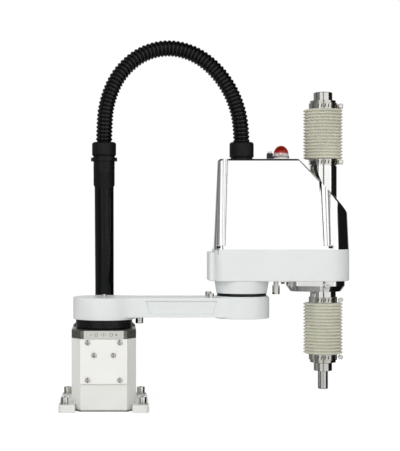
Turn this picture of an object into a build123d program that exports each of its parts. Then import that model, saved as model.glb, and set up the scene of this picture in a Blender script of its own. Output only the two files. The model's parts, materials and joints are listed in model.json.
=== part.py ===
from build123d import *
import math
import os

# Small cleanroom robot with two arms that swing in one plane and a shaft that slides and turns.
# Millimetres. The origin is on the first joint's axis, on the mounting face, +Z up, arms along +X.

# Reach and travel
ARM1_LENGTH = 220.0
ARM2_LENGTH = 130.0
STROKE_HALF = 60.0
FIT = 0.05
SEAT_GAP = 0.1
TURN_GAP = 0.4

# Base casting
COLUMN_HALF_X = 50.5
COLUMN_FRONT = 62.0
COLUMN_BACK = 56.0
FACET_X = 14.5
FACET_Y = 20.0
COLUMN_TOP = 113.0
COLUMN_WALL = 6.0
ROOF_T = 8.0
BOTTOM_PLATE_T = 3.0
FOOT_HALF_X = 70.0
FOOT_HALF_Y = 75.0
FOOT_T = 12.0
FOOT_ROUND = 9.0
BOLT_SPACING = 120.0
BOLT_HOLE_R = 4.5

# Rear housing with the connectors
REAR_HALF_X = 24.0
REAR_DEPTH = 41.0
REAR_PANEL_T = 1.5
PANEL_MARGIN = 3.0

# Front cover
COVER_HALF_X = 36.8
COVER_LOW = 43.0
COVER_T = 2.4
GASKET_T = 0.6
WINDOW_HALF_X = 20.0
WINDOW_LOW = 56.0
WINDOW_HIGH = 80.0
BUTTON_R = 4.2
BUTTON_T = 2.2
SCREW_R = 2.0

# Flange, bearing housing and first joint
FLANGE_T = 12.5
FLANGE_BORE_R = 40.0
FLANGE_SCREW_BITE = 7.0
SHOULDER_Y = 34.5
SHOULDER_LONG = 15.0
SCALE_HALF_X = 31.0
SCALE_T = 1.0
HOUSING_R = 45.0
HOUSING_H = 14.1
HUB1_R = 33.0
HUB1_BORE_R = 12.0
MOTOR1_SIDE = 60.0
MOTOR1_LENGTH = 70.0
MOTOR1_SHAFT_R = 7.0
SPLINE1_R = 28.0
SPLINE_T = 4.6
CUP_WALL = 1.5
CUP_GAP = 0.3
GENERATOR_FLAT = 0.6
STOP_RADIUS = 56.5
STOP1_PIN_R = 6.25
STOP1_PIN_H = 7.5
STOP1_BOLT_R = 4.0
STOP1_BOLT_H = 10.0
STOP1_ANGLE = 61.0

# Duct from the rear housing to the first joint's axis
PIPE_R = 15.5
PIPE_WALL = 2.5
PIPE_Y = 79.0
PIPE_BEND_Z = 190.0
PIPE_TOP_Z = 378.0
PIPE_BEND_R = 70.0
SOCKET_R = 18.0
SOCKET_H = 15.0
ADAPTER_R = 17.0
ADAPTER_SLEEVE = 26.0
ADAPTER_TOP = 391.5
ADAPTER_RIM_R = 21.0
ADAPTER_RIM_T = 5.5

# Corrugated hose and its two nuts
HOSE_R = 13.25
HOSE_WALL = 2.0
HOSE_RISE = 166.0
NUT_R = 19.3
NUT_H = 25.0
NUT_STEP = 3.0
NUT_INSET = 11.0

# First arm
ARM1_H = 35.0
ARM1_END_R = 49.4
ARM1_TIP_R = 44.0
ARM1_WAIST = 34.0
ARM1_BLEND_R = 40.0
WAIST_LIFT = 4.0
TIP_LIFT = 1.5
PAD_T = 1.5
PAD_R = 42.0
RECESS_FROM = 72.0
RECESS_TO = 172.0
RECESS_DEPTH = 2.5
RECESS_LIP = 5.0
ARM1_EDGE = 2.0
STOP2_RADIUS = 57.0
STOP2_ANGLE = 154.1
STOP2_BOLT_R = 5.0
STOP2_BOLT_H = 7.0
CAP_SCREW_R = 3.0
CAP_SCREW_H = 4.0

# Second joint
BORE2_R = 30.0
BORE2_DEPTH = 26.5
SEAL2_R = 39.3
SEAL2_T = 4.5
HUB2_R = 25.0
HUB2_BORE_R = 10.0
HUB2_FLANGE_T = 13.0
SPLINE2_R = 22.0
SPLINE2_H = 7.5
BOSS_LOW_R = 40.2
BOSS_HIGH_R = 43.5
BOSS_H = 19.6
MOTOR2_SIDE = 50.0
MOTOR2_LENGTH = 80.0
MOTOR2_SHAFT_R = 6.0

# Second arm casting
ARM2_H = 50.0
ARM2_BACK = 45.5
ARM2_BACK_HALF = 44.0
ARM2_CORNER_R = 18.0
ARM2_END_R = 41.5
ARM2_WALL = 5.0
ARM2_FLOOR = 8.0
BLOCK_REACH = 54.0
BLOCK_HALF = 27.0
BLOCK_DROP = 4.0
BLOCK_ROUND = 5.0
PIN2_RADIUS = 55.0
PIN2_R = 4.0
PIN2_HEAD_R = 6.0
PIN2_HEAD_H = 14.0
PIN2_LENGTH = 22.0

# Plated hood
HOOD_H = 143.0
HOOD_BACK = 47.0
HOOD_HALF = 42.0
HOOD_CORNER_R = 14.0
HOOD_END_R = 41.0
HOOD_WALL = 1.5
HOOD_TAPER = 2.6
HOOD_ROUND = 5.0
SLOPE_START = 43.0
SLOPE_RUN = 73.0
SLOPE_DROP = 77.0
FLUTE_LOW = 6.0
FLUTE_BACK_X = 32.0
FLUTE_BACK_LOW_R = 3.5
FLUTE_BACK_HIGH_R = 5.5
FLUTE_END_LOW_R = 8.0
FLUTE_END_HIGH_R = 11.0
NOTCH_R = 4.5
NOTCH_H = 7.0
NOTCH_FLOOR = 2.0

# Lamp and brake switch on the hood
LAMP_X = 67.0
LAMP_R = 13.0
LAMP_BASE_T = 3.0
LAMP_LENS_R = 12.2
LAMP_SIDE_H = 4.5
LAMP_H = 22.5
LENS_WALL = 1.2
SWITCH_X = 85.0
SWITCH_WIDE = 9.0
SWITCH_DEEP = 12.0
SWITCH_H = 10.0
BUTTON_STEM_R = 3.0
BUTTON_OUT = 3.5
BUTTON_TRAVEL = 1.5

# Shaft with its screw nut and spline nut
SHAFT_R = 8.0
SHAFT_BORE_R = 5.5
SHAFT_LOW = 28.0
SHAFT_LENGTH = 474.0
SHAFT_GROOVE_W = 2.0
SHAFT_GROOVE_DROP = 1.0
NUT_OUT_R = 15.0
BEARING_OUT_R = 21.0
BEARING_T = 12.0
PULLEY_R = 22.0
MOTOR_PULLEY_R = 11.0
PULLEY_FLANGE = 1.5
PULLEY_FLANGE_T = 0.8
PULLEY_W = 9.0
BELT_T = 1.5
BELT_W = 8.0
BELT_GAP = 0.3
SPLINE_NUT_LIFT = 4.0
SPLINE_NUT_PULLEY_LIFT = 25.0
SCREW_NUT_BELOW = 10.0
SCREW_NUT_ABOVE = 30.0

# Motors of the shaft and their brackets
MOTOR_SIDE = 34.0
MOTOR_X = 48.0
MOTOR_Y = 20.0
MOTOR_SHAFT_R = 4.0
MOTOR_SHAFT_DEEP = 16.0
MOTOR_LENGTH = 70.0
PLATE_LIFT = 77.0
PLATE_T = 10.0
PLATE_R = 32.0
POST_R = 4.0
POST_RADIUS = 31.2
U_PLATE_T = 6.0
PULLEY_CLEAR = 2.0

# Bellows, their sleeves, bearing cases and clamps
SLEEVE_R = 20.5
SLEEVE_WALL = 1.5
CUFF_WALL = 0.9
CUFF_H = 9.0
CLAMP_T = 0.9
CLAMP_W = 9.0
BELLOWS_R = 31.2
BELLOWS_ROOT_R = 24.0
BELLOWS_WALL = 0.8
BELLOWS_FOLDS = 16
BELLOWS_SPAN = 82.0
TUBE_R = 22.0
TUBE_NECK_H = 11.0
CASE_H = 13.3
COLLAR_H = 13.0
COLLAR_TOP_R = 15.0
COLLAR_LOW_R = 14.5
COLLAR_SLIT = 1.6
CLAMP_SCREW_R = 3.2
CLAMP_SCREW_REACH = 31.5

# Plated cover under the second arm
LOWER_COVER_H = 17.0
LOWER_COVER_R = 34.5
LOWER_COVER_TIP_R = 24.0
LOWER_COVER_TIP_X = 95.0
LOWER_COVER_SIDE = 8.0
LOWER_COVER_SLANT = 6.5
LOWER_COVER_WALL = 2.0
TAB_T = 2.5
SLEEVE_FLANGE_R = 24.0
SLEEVE_FLANGE_T = 2.0

# Heights and places worked out from the sizes above
OVER = 1.0
J2_X = ARM1_LENGTH
J3_X = ARM1_LENGTH + ARM2_LENGTH
FLANGE_TOP = COLUMN_TOP + FLANGE_T
ARM1_LOW = FLANGE_TOP + HOUSING_H + TURN_GAP
ARM1_TOP = ARM1_LOW + ARM1_H
PAD_TOP = ARM1_TOP + PAD_T
SEAL2_TOP = PAD_TOP + SEAL2_T
BOSS_LOW = SEAL2_TOP + TURN_GAP
ARM2_LOW = BOSS_LOW + BOSS_H
ARM2_DECK = ARM2_LOW + ARM2_FLOOR
ARM2_TOP = ARM2_LOW + ARM2_H
HOOD_TOP = ARM2_TOP + HOOD_H
COVER_TOP = COLUMN_TOP - 0.5
REAR_FACE = COLUMN_BACK + REAR_DEPTH
ROOF_LOW = COLUMN_TOP - ROOF_T
HUB1_LOW = COLUMN_TOP + SPLINE_T + TURN_GAP
BORE2_FLOOR = PAD_TOP - BORE2_DEPTH
LOWER_COVER_LOW = ARM2_LOW - LOWER_COVER_H
TUBE_TOP = HOOD_TOP + 0.5
UPPER_CASE_LOW = TUBE_TOP + BELLOWS_SPAN - 2.0
SLEEVE_LOW = LOWER_COVER_LOW - 18.0
LOWER_CASE_TOP = SLEEVE_LOW - BELLOWS_SPAN
LOWER_COLLAR_LOW = LOWER_CASE_TOP - CASE_H - TURN_GAP - COLLAR_H
PLATE_LOW = ARM2_DECK + PLATE_LIFT
PLATE_TOP = PLATE_LOW + PLATE_T
PULLEY_H = PULLEY_W + 2 * PULLEY_FLANGE_T
U_PULLEY_LOW = ARM2_DECK + SPLINE_NUT_PULLEY_LIFT
U_PLATE_LOW = U_PULLEY_LOW + PULLEY_H + PULLEY_CLEAR
Z_PULLEY_LOW = PLATE_TOP + PULLEY_CLEAR
HOSE_START = ADAPTER_TOP + ADAPTER_RIM_T + NUT_INSET
HOSE_END = HOOD_TOP + NUT_INSET

FLAT_BOTTOM = (Align.CENTER, Align.CENTER, Align.MIN)


def disc(radius, low, high, x=0.0, y=0.0):
    """A round solid between two heights."""
    return Pos(x, y, low) * Cylinder(radius, high - low, align=FLAT_BOTTOM)


def ring(outer, inner, low, high, x=0.0, y=0.0):
    """A round solid with a round hole through it."""
    return disc(outer, low, high, x, y) - disc(inner, low - OVER, high + OVER, x, y)


def block(x_range, y_range, z_range):
    """A box between two corners, given as one range for each axis."""
    sizes = [high - low for low, high in (x_range, y_range, z_range)]
    middles = [(low + high) / 2 for low, high in (x_range, y_range, z_range)]
    return Pos(*middles) * Box(*sizes)


def rod_y(radius, y_from, y_to, x, z):
    """A round solid along Y."""
    middle = (y_from + y_to) / 2
    return Pos(x, middle, z) * Rot(90, 0, 0) * Cylinder(radius, abs(y_to - y_from))


def rod_x(radius, x_from, x_to, y, z):
    """A round solid along X."""
    middle = (x_from + x_to) / 2
    return Pos(middle, y, z) * Rot(0, 90, 0) * Cylinder(radius, abs(x_to - x_from))


def turned(points, x=0.0, y=0.0):
    """A closed outline of (radius, height) points turned about a vertical axis."""
    outline = make_face(Polyline(*[(r, 0, z) for r, z in points], close=True))
    return Pos(x, y, 0) * revolve(outline, Axis.Z)


def prism(sketch, low, high, taper=0.0):
    """A flat outline raised between two heights."""
    return extrude(Pos(0, 0, low) * sketch, high - low, dir=(0, 0, 1), taper=taper)


def hull(circles):
    """The outline pulled tight round some (radius, x, y) circles."""
    outline = Sketch() + [Pos(x, y) * Circle(r) for r, x, y in circles]
    return make_hull(outline.edges())


def blunt_outline(corner_r, corner_x, corner_y, end_r, end_x):
    """Two round corners at the back joined by tangents to one round end."""
    reach = math.hypot(end_x - corner_x, corner_y)
    lean = math.acos((corner_r - end_r) / reach) - math.atan2(corner_y, end_x - corner_x)
    middle = (lean + math.pi) / 2
    lower = [
        (corner_x - corner_r, -corner_y),
        (corner_x + corner_r * math.cos(middle), -corner_y - corner_r * math.sin(middle)),
        (corner_x + corner_r * math.cos(lean), -corner_y - corner_r * math.sin(lean)),
    ]
    upper = [(x, -y) for x, y in reversed(lower)]
    end = (end_x + end_r * math.cos(lean), end_r * math.sin(lean))
    edges = [
        Line(upper[2], lower[0]),
        ThreePointArc(*lower),
        Line(lower[2], (end[0], -end[1])),
        ThreePointArc((end[0], -end[1]), (end_x + end_r, 0), end),
        Line(end, upper[0]),
        ThreePointArc(*upper),
    ]
    return make_face(edges)


def save(name, *solids):
    """Write the solids of one sub-part."""
    shape = solids[0] if len(solids) == 1 else Compound(children=list(solids))
    export_step(shape, f"parts/{name}.step")


# Base


def column_outline(inset):
    """The column seen from above, with slanted corners, moved in by a wall."""
    x = COLUMN_HALF_X - inset
    front = -COLUMN_FRONT + inset
    back = COLUMN_BACK - inset
    corner_x = COLUMN_HALF_X - FACET_X - 0.5 * inset
    slant_front = -COLUMN_FRONT + FACET_Y + 0.5 * inset
    slant_back = COLUMN_BACK - FACET_Y - 0.5 * inset
    points = [
        (-corner_x, front), (corner_x, front), (x, slant_front), (x, slant_back),
        (corner_x, back), (-corner_x, back), (-x, slant_back), (-x, slant_front),
    ]
    return make_face(Polyline(*points, close=True))


def bolt_places():
    """The four mounting holes."""
    half = BOLT_SPACING / 2
    return [(x, y) for x in (-half, half) for y in (-half, half)]


def cover_screw_places():
    """The six screws of the front cover as (x, z)."""
    upper = COVER_TOP - 5.0
    return [(s * x, z) for s in (-1, 1) for x, z in ((25.0, upper), (15.0, 88.0), (25.0, 49.6))]


def panel_screw_places():
    """The four screws of the rear panel as (x, z)."""
    x = REAR_HALF_X - PANEL_MARGIN - 3.5
    return [(s * x, z) for s in (-1, 1) for z in (14.0, COLUMN_TOP - 14.0)]


def base_casting():
    """Column, rear housing and two foot flanges in one hollow casting."""
    body = prism(column_outline(0), BOTTOM_PLATE_T, COLUMN_TOP)
    rear_y = (COLUMN_BACK - COLUMN_WALL, REAR_FACE)
    body += block((-REAR_HALF_X, REAR_HALF_X), rear_y, (BOTTOM_PLATE_T, COLUMN_TOP))
    body = fillet(body.edges().filter_by(Axis.Z), 1.5)
    for side in (-1, 1):
        inner = COLUMN_HALF_X - COLUMN_WALL
        ends = sorted((side * inner, side * FOOT_HALF_X))
        foot = block(ends, (-FOOT_HALF_Y, FOOT_HALF_Y), (0, FOOT_T))
        outer = foot.edges().filter_by(Axis.Z).group_by(Axis.X)[-1 if side > 0 else 0]
        foot = fillet(outer, FOOT_ROUND)
        top = foot.faces().sort_by(Axis.Z)[-1]
        body += fillet(top.edges().sort_by(Axis.X)[-1 if side > 0 else 0], 2.5)
    hollow = prism(column_outline(COLUMN_WALL), -OVER, ROOF_LOW)
    inner_x = REAR_HALF_X - COLUMN_WALL
    inner_y = (COLUMN_BACK - 2 * COLUMN_WALL, REAR_FACE - COLUMN_WALL)
    hollow += block((-inner_x, inner_x), inner_y, (-OVER, ROOF_LOW))
    body -= hollow
    body -= disc(MOTOR1_SIDE * 0.42, ROOF_LOW - OVER, COLUMN_TOP + OVER)
    body -= disc(PIPE_R - PIPE_WALL, ROOF_LOW - OVER, COLUMN_TOP + OVER, 0, PIPE_Y)
    window = ((-WINDOW_HALF_X, WINDOW_HALF_X), (-COLUMN_FRONT - OVER, -COLUMN_FRONT + 2 * COLUMN_WALL))
    body -= block(*window, (WINDOW_LOW, WINDOW_HIGH))
    for x, z in cover_screw_places():
        body -= rod_y(SCREW_R + SEAT_GAP, -COLUMN_FRONT - OVER, -COLUMN_FRONT + COLUMN_WALL - 1.5, x, z)
    for x, z in panel_screw_places():
        body -= rod_y(SCREW_R + SEAT_GAP, REAR_FACE - COLUMN_WALL + 1.5, REAR_FACE + OVER, x, z)
    for x, y in bolt_places():
        body -= disc(BOLT_HOLE_R, -OVER, FOOT_T + OVER, x, y)
    for x, y in flange_screw_places():
        body -= disc(SCREW_R + SEAT_GAP, COLUMN_TOP - FLANGE_SCREW_BITE, COLUMN_TOP + OVER, x, y)
    return body


def bottom_plate():
    """Thin plate that closes the column from below, between the feet."""
    half = COLUMN_HALF_X - COLUMN_WALL - SEAT_GAP
    plate = block((-half, half), (-COLUMN_FRONT + 0.5, COLUMN_BACK), (0, BOTTOM_PLATE_T))
    rear = block((-REAR_HALF_X, REAR_HALF_X), (COLUMN_BACK - OVER, REAR_FACE - 0.5), (0, BOTTOM_PLATE_T))
    corners = prism(column_outline(0.5), -OVER, BOTTOM_PLATE_T + OVER)
    return (plate & corners) + rear


def cover_sheet(y_from, y_to, inset):
    """One flat sheet at the front of the column with the six screw holes."""
    x = COVER_HALF_X - inset
    sheet = block((-x, x), (y_from, y_to), (COVER_LOW + inset, COVER_TOP - inset))
    sheet = fillet(sheet.edges().filter_by(Axis.Y), 2.5)
    for hole_x, z in cover_screw_places():
        sheet -= rod_y(SCREW_R + SEAT_GAP, y_from - OVER, y_to + OVER, hole_x, z)
    return sheet


def front_cover():
    """Painted cover plate with broken front edges."""
    back = -COLUMN_FRONT - GASKET_T
    plate = cover_sheet(back - COVER_T, back, 0)
    return chamfer(plate.faces().sort_by(Axis.Y)[0].outer_wire().edges(), 0.6)


def front_cover_gasket():
    """Thin seal between the cover and the column, open over the window."""
    sheet = cover_sheet(-COLUMN_FRONT - GASKET_T, -COLUMN_FRONT, 1.2)
    window = (-WINDOW_HALF_X, WINDOW_HALF_X)
    y_range = (-COLUMN_FRONT - GASKET_T - OVER, -COLUMN_FRONT + OVER)
    return sheet - block(window, y_range, (WINDOW_LOW, WINDOW_HIGH))


def button_screw(x, z, seat_y, depth, outward):
    """A round-headed screw along Y; outward is -1 at the front and 1 at the back."""
    head = rod_y(BUTTON_R, seat_y, seat_y + outward * BUTTON_T, x, z)
    rim = head.faces().sort_by(Axis.Y)[0 if outward < 0 else -1].edges()
    head = fillet(rim, 1.2)
    return head + rod_y(SCREW_R, seat_y, seat_y - outward * depth, x, z)


def base_screws():
    """Six screws of the front cover and four of the rear panel."""
    front = -COLUMN_FRONT - GASKET_T - COVER_T
    back = REAR_FACE + REAR_PANEL_T
    depth = COVER_T + GASKET_T + COLUMN_WALL - 2.0
    screws = [button_screw(x, z, front, depth, -1) for x, z in cover_screw_places()]
    rear_depth = REAR_PANEL_T + COLUMN_WALL - 2.0
    return screws + [button_screw(x, z, back, rear_depth, 1) for x, z in panel_screw_places()]


def rear_panel():
    """Connector panel on the back of the rear housing."""
    x = REAR_HALF_X - PANEL_MARGIN
    y_range = (REAR_FACE, REAR_FACE + REAR_PANEL_T)
    panel = block((-x, x), y_range, (8.0, COLUMN_TOP - 8.0))
    for hole_x, z in panel_screw_places():
        panel -= rod_y(SCREW_R + SEAT_GAP, REAR_FACE - OVER, REAR_FACE + 2 * REAR_PANEL_T, hole_x, z)
    return panel


def user_connector():
    """Upright connector shell with a slanted outline and two jack posts."""
    face = REAR_FACE + REAR_PANEL_T
    middle = COLUMN_TOP - 38.0
    flange = block((-6.2, 6.2), (face, face + 1.0), (middle - 15.5, middle + 15.5))
    points = [(-4.2, middle - 8.5), (4.2, middle - 9.7), (4.2, middle + 9.7), (-4.2, middle + 8.5)]
    outline = make_face(Polyline(*[(x, face + 1.0, z) for x, z in points], close=True))
    shell = extrude(outline, 5.0, dir=(0, 1, 0))
    posts = [rod_y(1.8, face + 1.0, face + 5.0, 0, middle + s * 12.5) for s in (-1, 1)]
    return flange + shell + posts


def air_fittings():
    """Two push-in fittings for air lines."""
    face = REAR_FACE + REAR_PANEL_T
    fittings = []
    for side in (-1, 1):
        x = side * 7.5
        body = rod_y(4.5, face, face + 4.5, x, 46.0) + rod_y(3.8, face + 4.5, face + 7.0, x, 46.0)
        fittings.append(body - rod_y(2.0, face + 1.5, face + 8.0, x, 46.0))
    return fittings


def cable_gland():
    """Round gland for the power and signal lines, without a cable."""
    face = REAR_FACE + REAR_PANEL_T
    body = rod_y(9.5, face, face + 3.0, 0, 27.0) + rod_y(7.5, face + 3.0, face + 8.0, 0, 27.0)
    return body - rod_y(5.0, face + 1.0, face + 9.0, 0, 27.0)


# First joint

def flange_screw_places():
    """Four corner screws of the flange."""
    return [(sx * 41.0, y) for sx in (-1, 1) for y in (-36.0, 30.0)]


def stop_bolt_places():
    """Two stop bolts behind the first joint."""
    angle = math.radians(STOP1_ANGLE)
    x = STOP_RADIUS * math.cos(angle)
    return [(-x, STOP_RADIUS * math.sin(angle)), (x, STOP_RADIUS * math.sin(angle))]


def j1_flange():
    """Machined flange with corner pockets, rear shoulders and a bore."""
    body = prism(column_outline(0), COLUMN_TOP, FLANGE_TOP)
    for side in (-1, 1):
        points = [(50.5, -OVER), (50.5, 1.5), (46.5, 5.5), (41.0, 5.5), (38.0, -OVER)]
        outline = Polyline(*[(side * x, SHOULDER_Y, FLANGE_TOP + z) for x, z in points], close=True)
        shoulder = extrude(make_face(outline), SHOULDER_LONG, dir=(0, 1, 0))
        body += shoulder & prism(column_outline(0), COLUMN_TOP, FLANGE_TOP + 8.0)
    body -= disc(FLANGE_BORE_R, COLUMN_TOP - OVER, FLANGE_TOP + OVER)
    for x, y in flange_screw_places():
        if y < 0:
            body -= disc(7.0, FLANGE_TOP - 5.5, FLANGE_TOP + OVER, x * 1.06, y * 1.06)
        body -= disc(SCREW_R + SEAT_GAP, COLUMN_TOP - OVER, FLANGE_TOP + OVER, x, y)
    return body


def j1_flange_bolts():
    """Four corner cap screws and the two stop bolts behind."""
    bolts = []
    for x, y in flange_screw_places():
        seat = FLANGE_TOP - 5.5 if y < 0 else FLANGE_TOP
        head = disc(3.6, seat, seat + 4.0, x, y) - disc(1.6, seat + 2.0, seat + 5.0, x, y)
        bolts.append(head + disc(SCREW_R, COLUMN_TOP - FLANGE_SCREW_BITE + 1.0, seat, x, y))
    for x, y in stop_bolt_places():
        bolts.append(disc(STOP1_BOLT_R, FLANGE_TOP, FLANGE_TOP + STOP1_BOLT_H, x, y))
    return bolts


def scale_plate():
    """Light plate at the front of the flange."""
    y_range = (-COLUMN_FRONT - SCALE_T, -COLUMN_FRONT)
    plate = block((-SCALE_HALF_X, SCALE_HALF_X), y_range, (COLUMN_TOP, FLANGE_TOP))
    return fillet(plate.edges().filter_by(Axis.Y), 1.0)


def j1_bearing_housing():
    """Black ring that holds the first joint's bearing, with fine grooves."""
    low = FLANGE_TOP
    high = low + HOUSING_H
    groove = 0.6
    points = [(HUB1_R, low), (HOUSING_R - 1.5, low), (HOUSING_R, low + 2.0)]
    for z in (low + 4.0, low + 7.0, low + 10.0):
        points += [(HOUSING_R, z), (HOUSING_R - groove, z + 0.4), (HOUSING_R, z + 0.8)]
    points += [(HOUSING_R, high - 0.6), (HOUSING_R - 0.6, high), (HUB1_R, high)]
    return turned(points)


def motor(side, length, low, x, y, shaft_r, shaft_deep, up=True):
    """Square motor with a round-cornered body and a smaller sensor cap at its far end."""
    cap = 0.22 * length
    high = low + length
    half = side / 2
    body_z = (low + cap, high) if up else (low, high - cap)
    cap_z = (low, low + cap) if up else (high - cap, high)
    body = block((x - half, x + half), (y - half, y + half), body_z)
    body = fillet(body.edges().filter_by(Axis.Z), side * 0.08)
    small = half * 0.8
    body += block((x - small, x + small), (y - small, y + small), cap_z)
    end = (high - shaft_deep, high + OVER) if up else (low - OVER, low + shaft_deep)
    return body - disc(shaft_r + FIT, end[0], end[1], x, y)


def j1_motor():
    """Motor that hangs under the roof of the column, with a round pilot."""
    low = ROOF_LOW - MOTOR1_LENGTH
    body = motor(MOTOR1_SIDE, MOTOR1_LENGTH, low, 0, 0, MOTOR1_SHAFT_R, 20.0)
    pilot = MOTOR1_SIDE * 0.42 - SEAT_GAP
    return body + ring(pilot, MOTOR1_SHAFT_R + FIT, ROOF_LOW, ROOF_LOW + 4.0)


def generator_disc(radius, shaft_r, low, high, x):
    """Oval disc that presses the flexible cup, a little narrower one way."""
    outline = Pos(x, 0) * Ellipse(radius, radius - GENERATOR_FLAT)
    return prism(outline, low, high)


def j1_wave_generator():
    """Oval disc on the first motor's shaft."""
    radius = SPLINE1_R - 2 * CUP_GAP - CUP_WALL
    low = COLUMN_TOP + 0.5
    body = generator_disc(radius, MOTOR1_SHAFT_R, low, COLUMN_TOP + SPLINE_T - 0.5, 0)
    return body + disc(MOTOR1_SHAFT_R, ROOF_LOW - 18.0, low)


def j1_circular_spline():
    """Fixed ring of the first reducer, seated in the flange."""
    return ring(FLANGE_BORE_R - SEAT_GAP, SPLINE1_R, COLUMN_TOP, COLUMN_TOP + SPLINE_T)


def flexible_cup(spline_r, low, high, x):
    """Thin wall of the reducer's cup."""
    outer = spline_r - CUP_GAP
    return ring(outer, outer - CUP_WALL, low, high, x)


def j1_hub():
    """Bearing hub under the first arm, and the reducer's thin cup below it."""
    hub = ring(HUB1_R - FIT, HUB1_BORE_R, HUB1_LOW, ARM1_LOW)
    return [hub, flexible_cup(SPLINE1_R, COLUMN_TOP + 0.5, HUB1_LOW, 0)]


# Duct, adapter and hose


def duct_direction():
    """Unit vector along the leaning stretch of the duct."""
    return Vector(0, -PIPE_Y, PIPE_TOP_Z - PIPE_BEND_Z).normalized()


def duct_pipe():
    """Stiff black pipe: upright at the rear housing, then leaning to the first axis."""
    lean = duct_direction()
    end = Vector(0, 0, PIPE_TOP_Z) - lean * 8.0
    points = [(0, PIPE_Y, COLUMN_TOP), (0, PIPE_Y, PIPE_BEND_Z), tuple(end)]
    path = FilletPolyline(*points, radius=PIPE_BEND_R)
    section = Pos(0, PIPE_Y, COLUMN_TOP) * (Circle(PIPE_R) - Circle(PIPE_R - PIPE_WALL))
    return sweep(section, path=path)


def pipe_socket():
    """Collar that holds the pipe on the rear housing."""
    high = COLUMN_TOP + SOCKET_H
    inner = PIPE_R + SEAT_GAP
    low = COLUMN_TOP
    points = [(inner, low), (SOCKET_R, low), (SOCKET_R, high - 2.0), (inner + 1.0, high), (inner, high)]
    return turned(points, 0, PIPE_Y)


def pipe_adapter():
    """Elbow from the leaning pipe to the upright hose nut."""
    lean = duct_direction()
    corner = Vector(0, 0, PIPE_TOP_Z)
    sleeve_plane = Plane(origin=tuple(corner - lean * ADAPTER_SLEEVE), x_dir=(1, 0, 0), z_dir=tuple(lean))
    body = sleeve_plane * Cylinder(ADAPTER_R, ADAPTER_SLEEVE, align=FLAT_BOTTOM)
    body += Pos(0, 0, PIPE_TOP_Z) * Sphere(ADAPTER_R)
    body += disc(ADAPTER_R, PIPE_TOP_Z, ADAPTER_TOP)
    rim_top = ADAPTER_TOP + ADAPTER_RIM_T
    body += disc(ADAPTER_RIM_R, ADAPTER_TOP, rim_top)
    body -= sleeve_plane * Cylinder(PIPE_R + SEAT_GAP, ADAPTER_SLEEVE - 7.9, align=FLAT_BOTTOM)
    inner = PIPE_R - PIPE_WALL
    body -= sleeve_plane * Cylinder(inner, ADAPTER_SLEEVE, align=FLAT_BOTTOM)
    body -= Pos(0, 0, PIPE_TOP_Z) * Sphere(inner)
    return body - disc(inner, PIPE_TOP_Z, rim_top + OVER)


def hose_nut(low, high, x):
    """Ribbed nut that holds an end of the hose."""
    step = NUT_R - 2.0
    mouth = HOSE_R + 0.3
    floor = low + NUT_INSET
    points = [
        (HOSE_R - HOSE_WALL, low), (step, low), (step, low + NUT_STEP), (NUT_R, low + NUT_STEP),
        (NUT_R, high - 2.0), (NUT_R - 1.5, high), (mouth, high), (mouth, floor - 0.3),
        (HOSE_R - HOSE_WALL, floor - 0.3),
    ]
    return turned(points, x)


def hose_route():
    """Points of the hose's arch, from shares of the first arm's length and of the hose's rise."""
    shares = [
        (0, 0), (0, 0.1988), (0.0159, 0.4699), (0.1023, 0.741), (0.2591, 0.9307), (0.4386, 1),
        (0.6114, 0.9669), (0.7659, 0.8464), (0.8886, 0.6566), (0.9682, 0.4337), (1, 0.1928),
    ]
    points = [(along * J2_X, HOSE_START + up * HOSE_RISE) for along, up in shares]
    return points + [(J2_X, HOSE_END)]


def bend_radii(points):
    """The radius at each corner: 0.45 of the shorter run over the tangent of half the turn."""
    radii = []
    for before, here, after in zip(points, points[1:], points[2:]):
        run_in = Vector(here[0] - before[0], 0, here[1] - before[1])
        run_out = Vector(after[0] - here[0], 0, after[1] - here[1])
        half_turn = math.radians(run_in.get_angle(run_out)) / 2
        radii.append(0.45 * min(run_in.length, run_out.length) / math.tan(half_turn))
    return radii


def hose():
    """Plain tube along the route of the corrugated hose."""
    points = hose_route()
    radii = bend_radii(points)
    path = FilletPolyline(*[(x, 0, z) for x, z in points], radius=radii)
    start = Plane(origin=path @ 0, z_dir=path % 0)
    tube = sweep(start * (Circle(HOSE_R) - Circle(HOSE_R - HOSE_WALL)), path=path)
    section = math.pi * (HOSE_R**2 - (HOSE_R - HOSE_WALL) ** 2)
    print("hose bend radii", [round(r) for r in radii], "length", round(path.length, 1))
    print("hose volume", round(tube.volume), "section times length", round(section * path.length))
    return tube


# First arm


def arm1_outline():
    """The first arm from above: two round ends and a waist with hollow shoulders."""
    waist = Pos(ARM1_LENGTH / 2, 0) * Rectangle(ARM1_LENGTH, 2 * ARM1_WAIST)
    outline = Circle(ARM1_END_R) + waist + Pos(J2_X, 0) * Circle(ARM1_TIP_R)
    corners = outline.vertices().filter_by_position(Axis.X, 10.0, J2_X - 10.0)
    return fillet(corners, ARM1_BLEND_R)


def side_recess(side):
    """Shallow panel with slanted ends, cut in one side of the waist."""
    low = ARM1_LOW + WAIST_LIFT + RECESS_LIP
    high = ARM1_TOP - RECESS_LIP
    slant = 6.0
    y = side * (ARM1_WAIST - RECESS_DEPTH)
    points = [(RECESS_FROM - slant, high), (RECESS_TO + slant, high), (RECESS_TO, low), (RECESS_FROM, low)]
    outline = make_face(Polyline(*[(x, y, z) for x, z in points], close=True))
    return extrude(outline, 4 * RECESS_DEPTH, dir=(0, side, 0))


def stop2_places():
    """Two stop bolts on top of the first arm, beside the second joint."""
    angle = math.radians(STOP2_ANGLE)
    x = J2_X + STOP2_RADIUS * math.cos(angle)
    y = STOP2_RADIUS * math.sin(angle)
    return [(x, -y), (x, y)]


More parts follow.
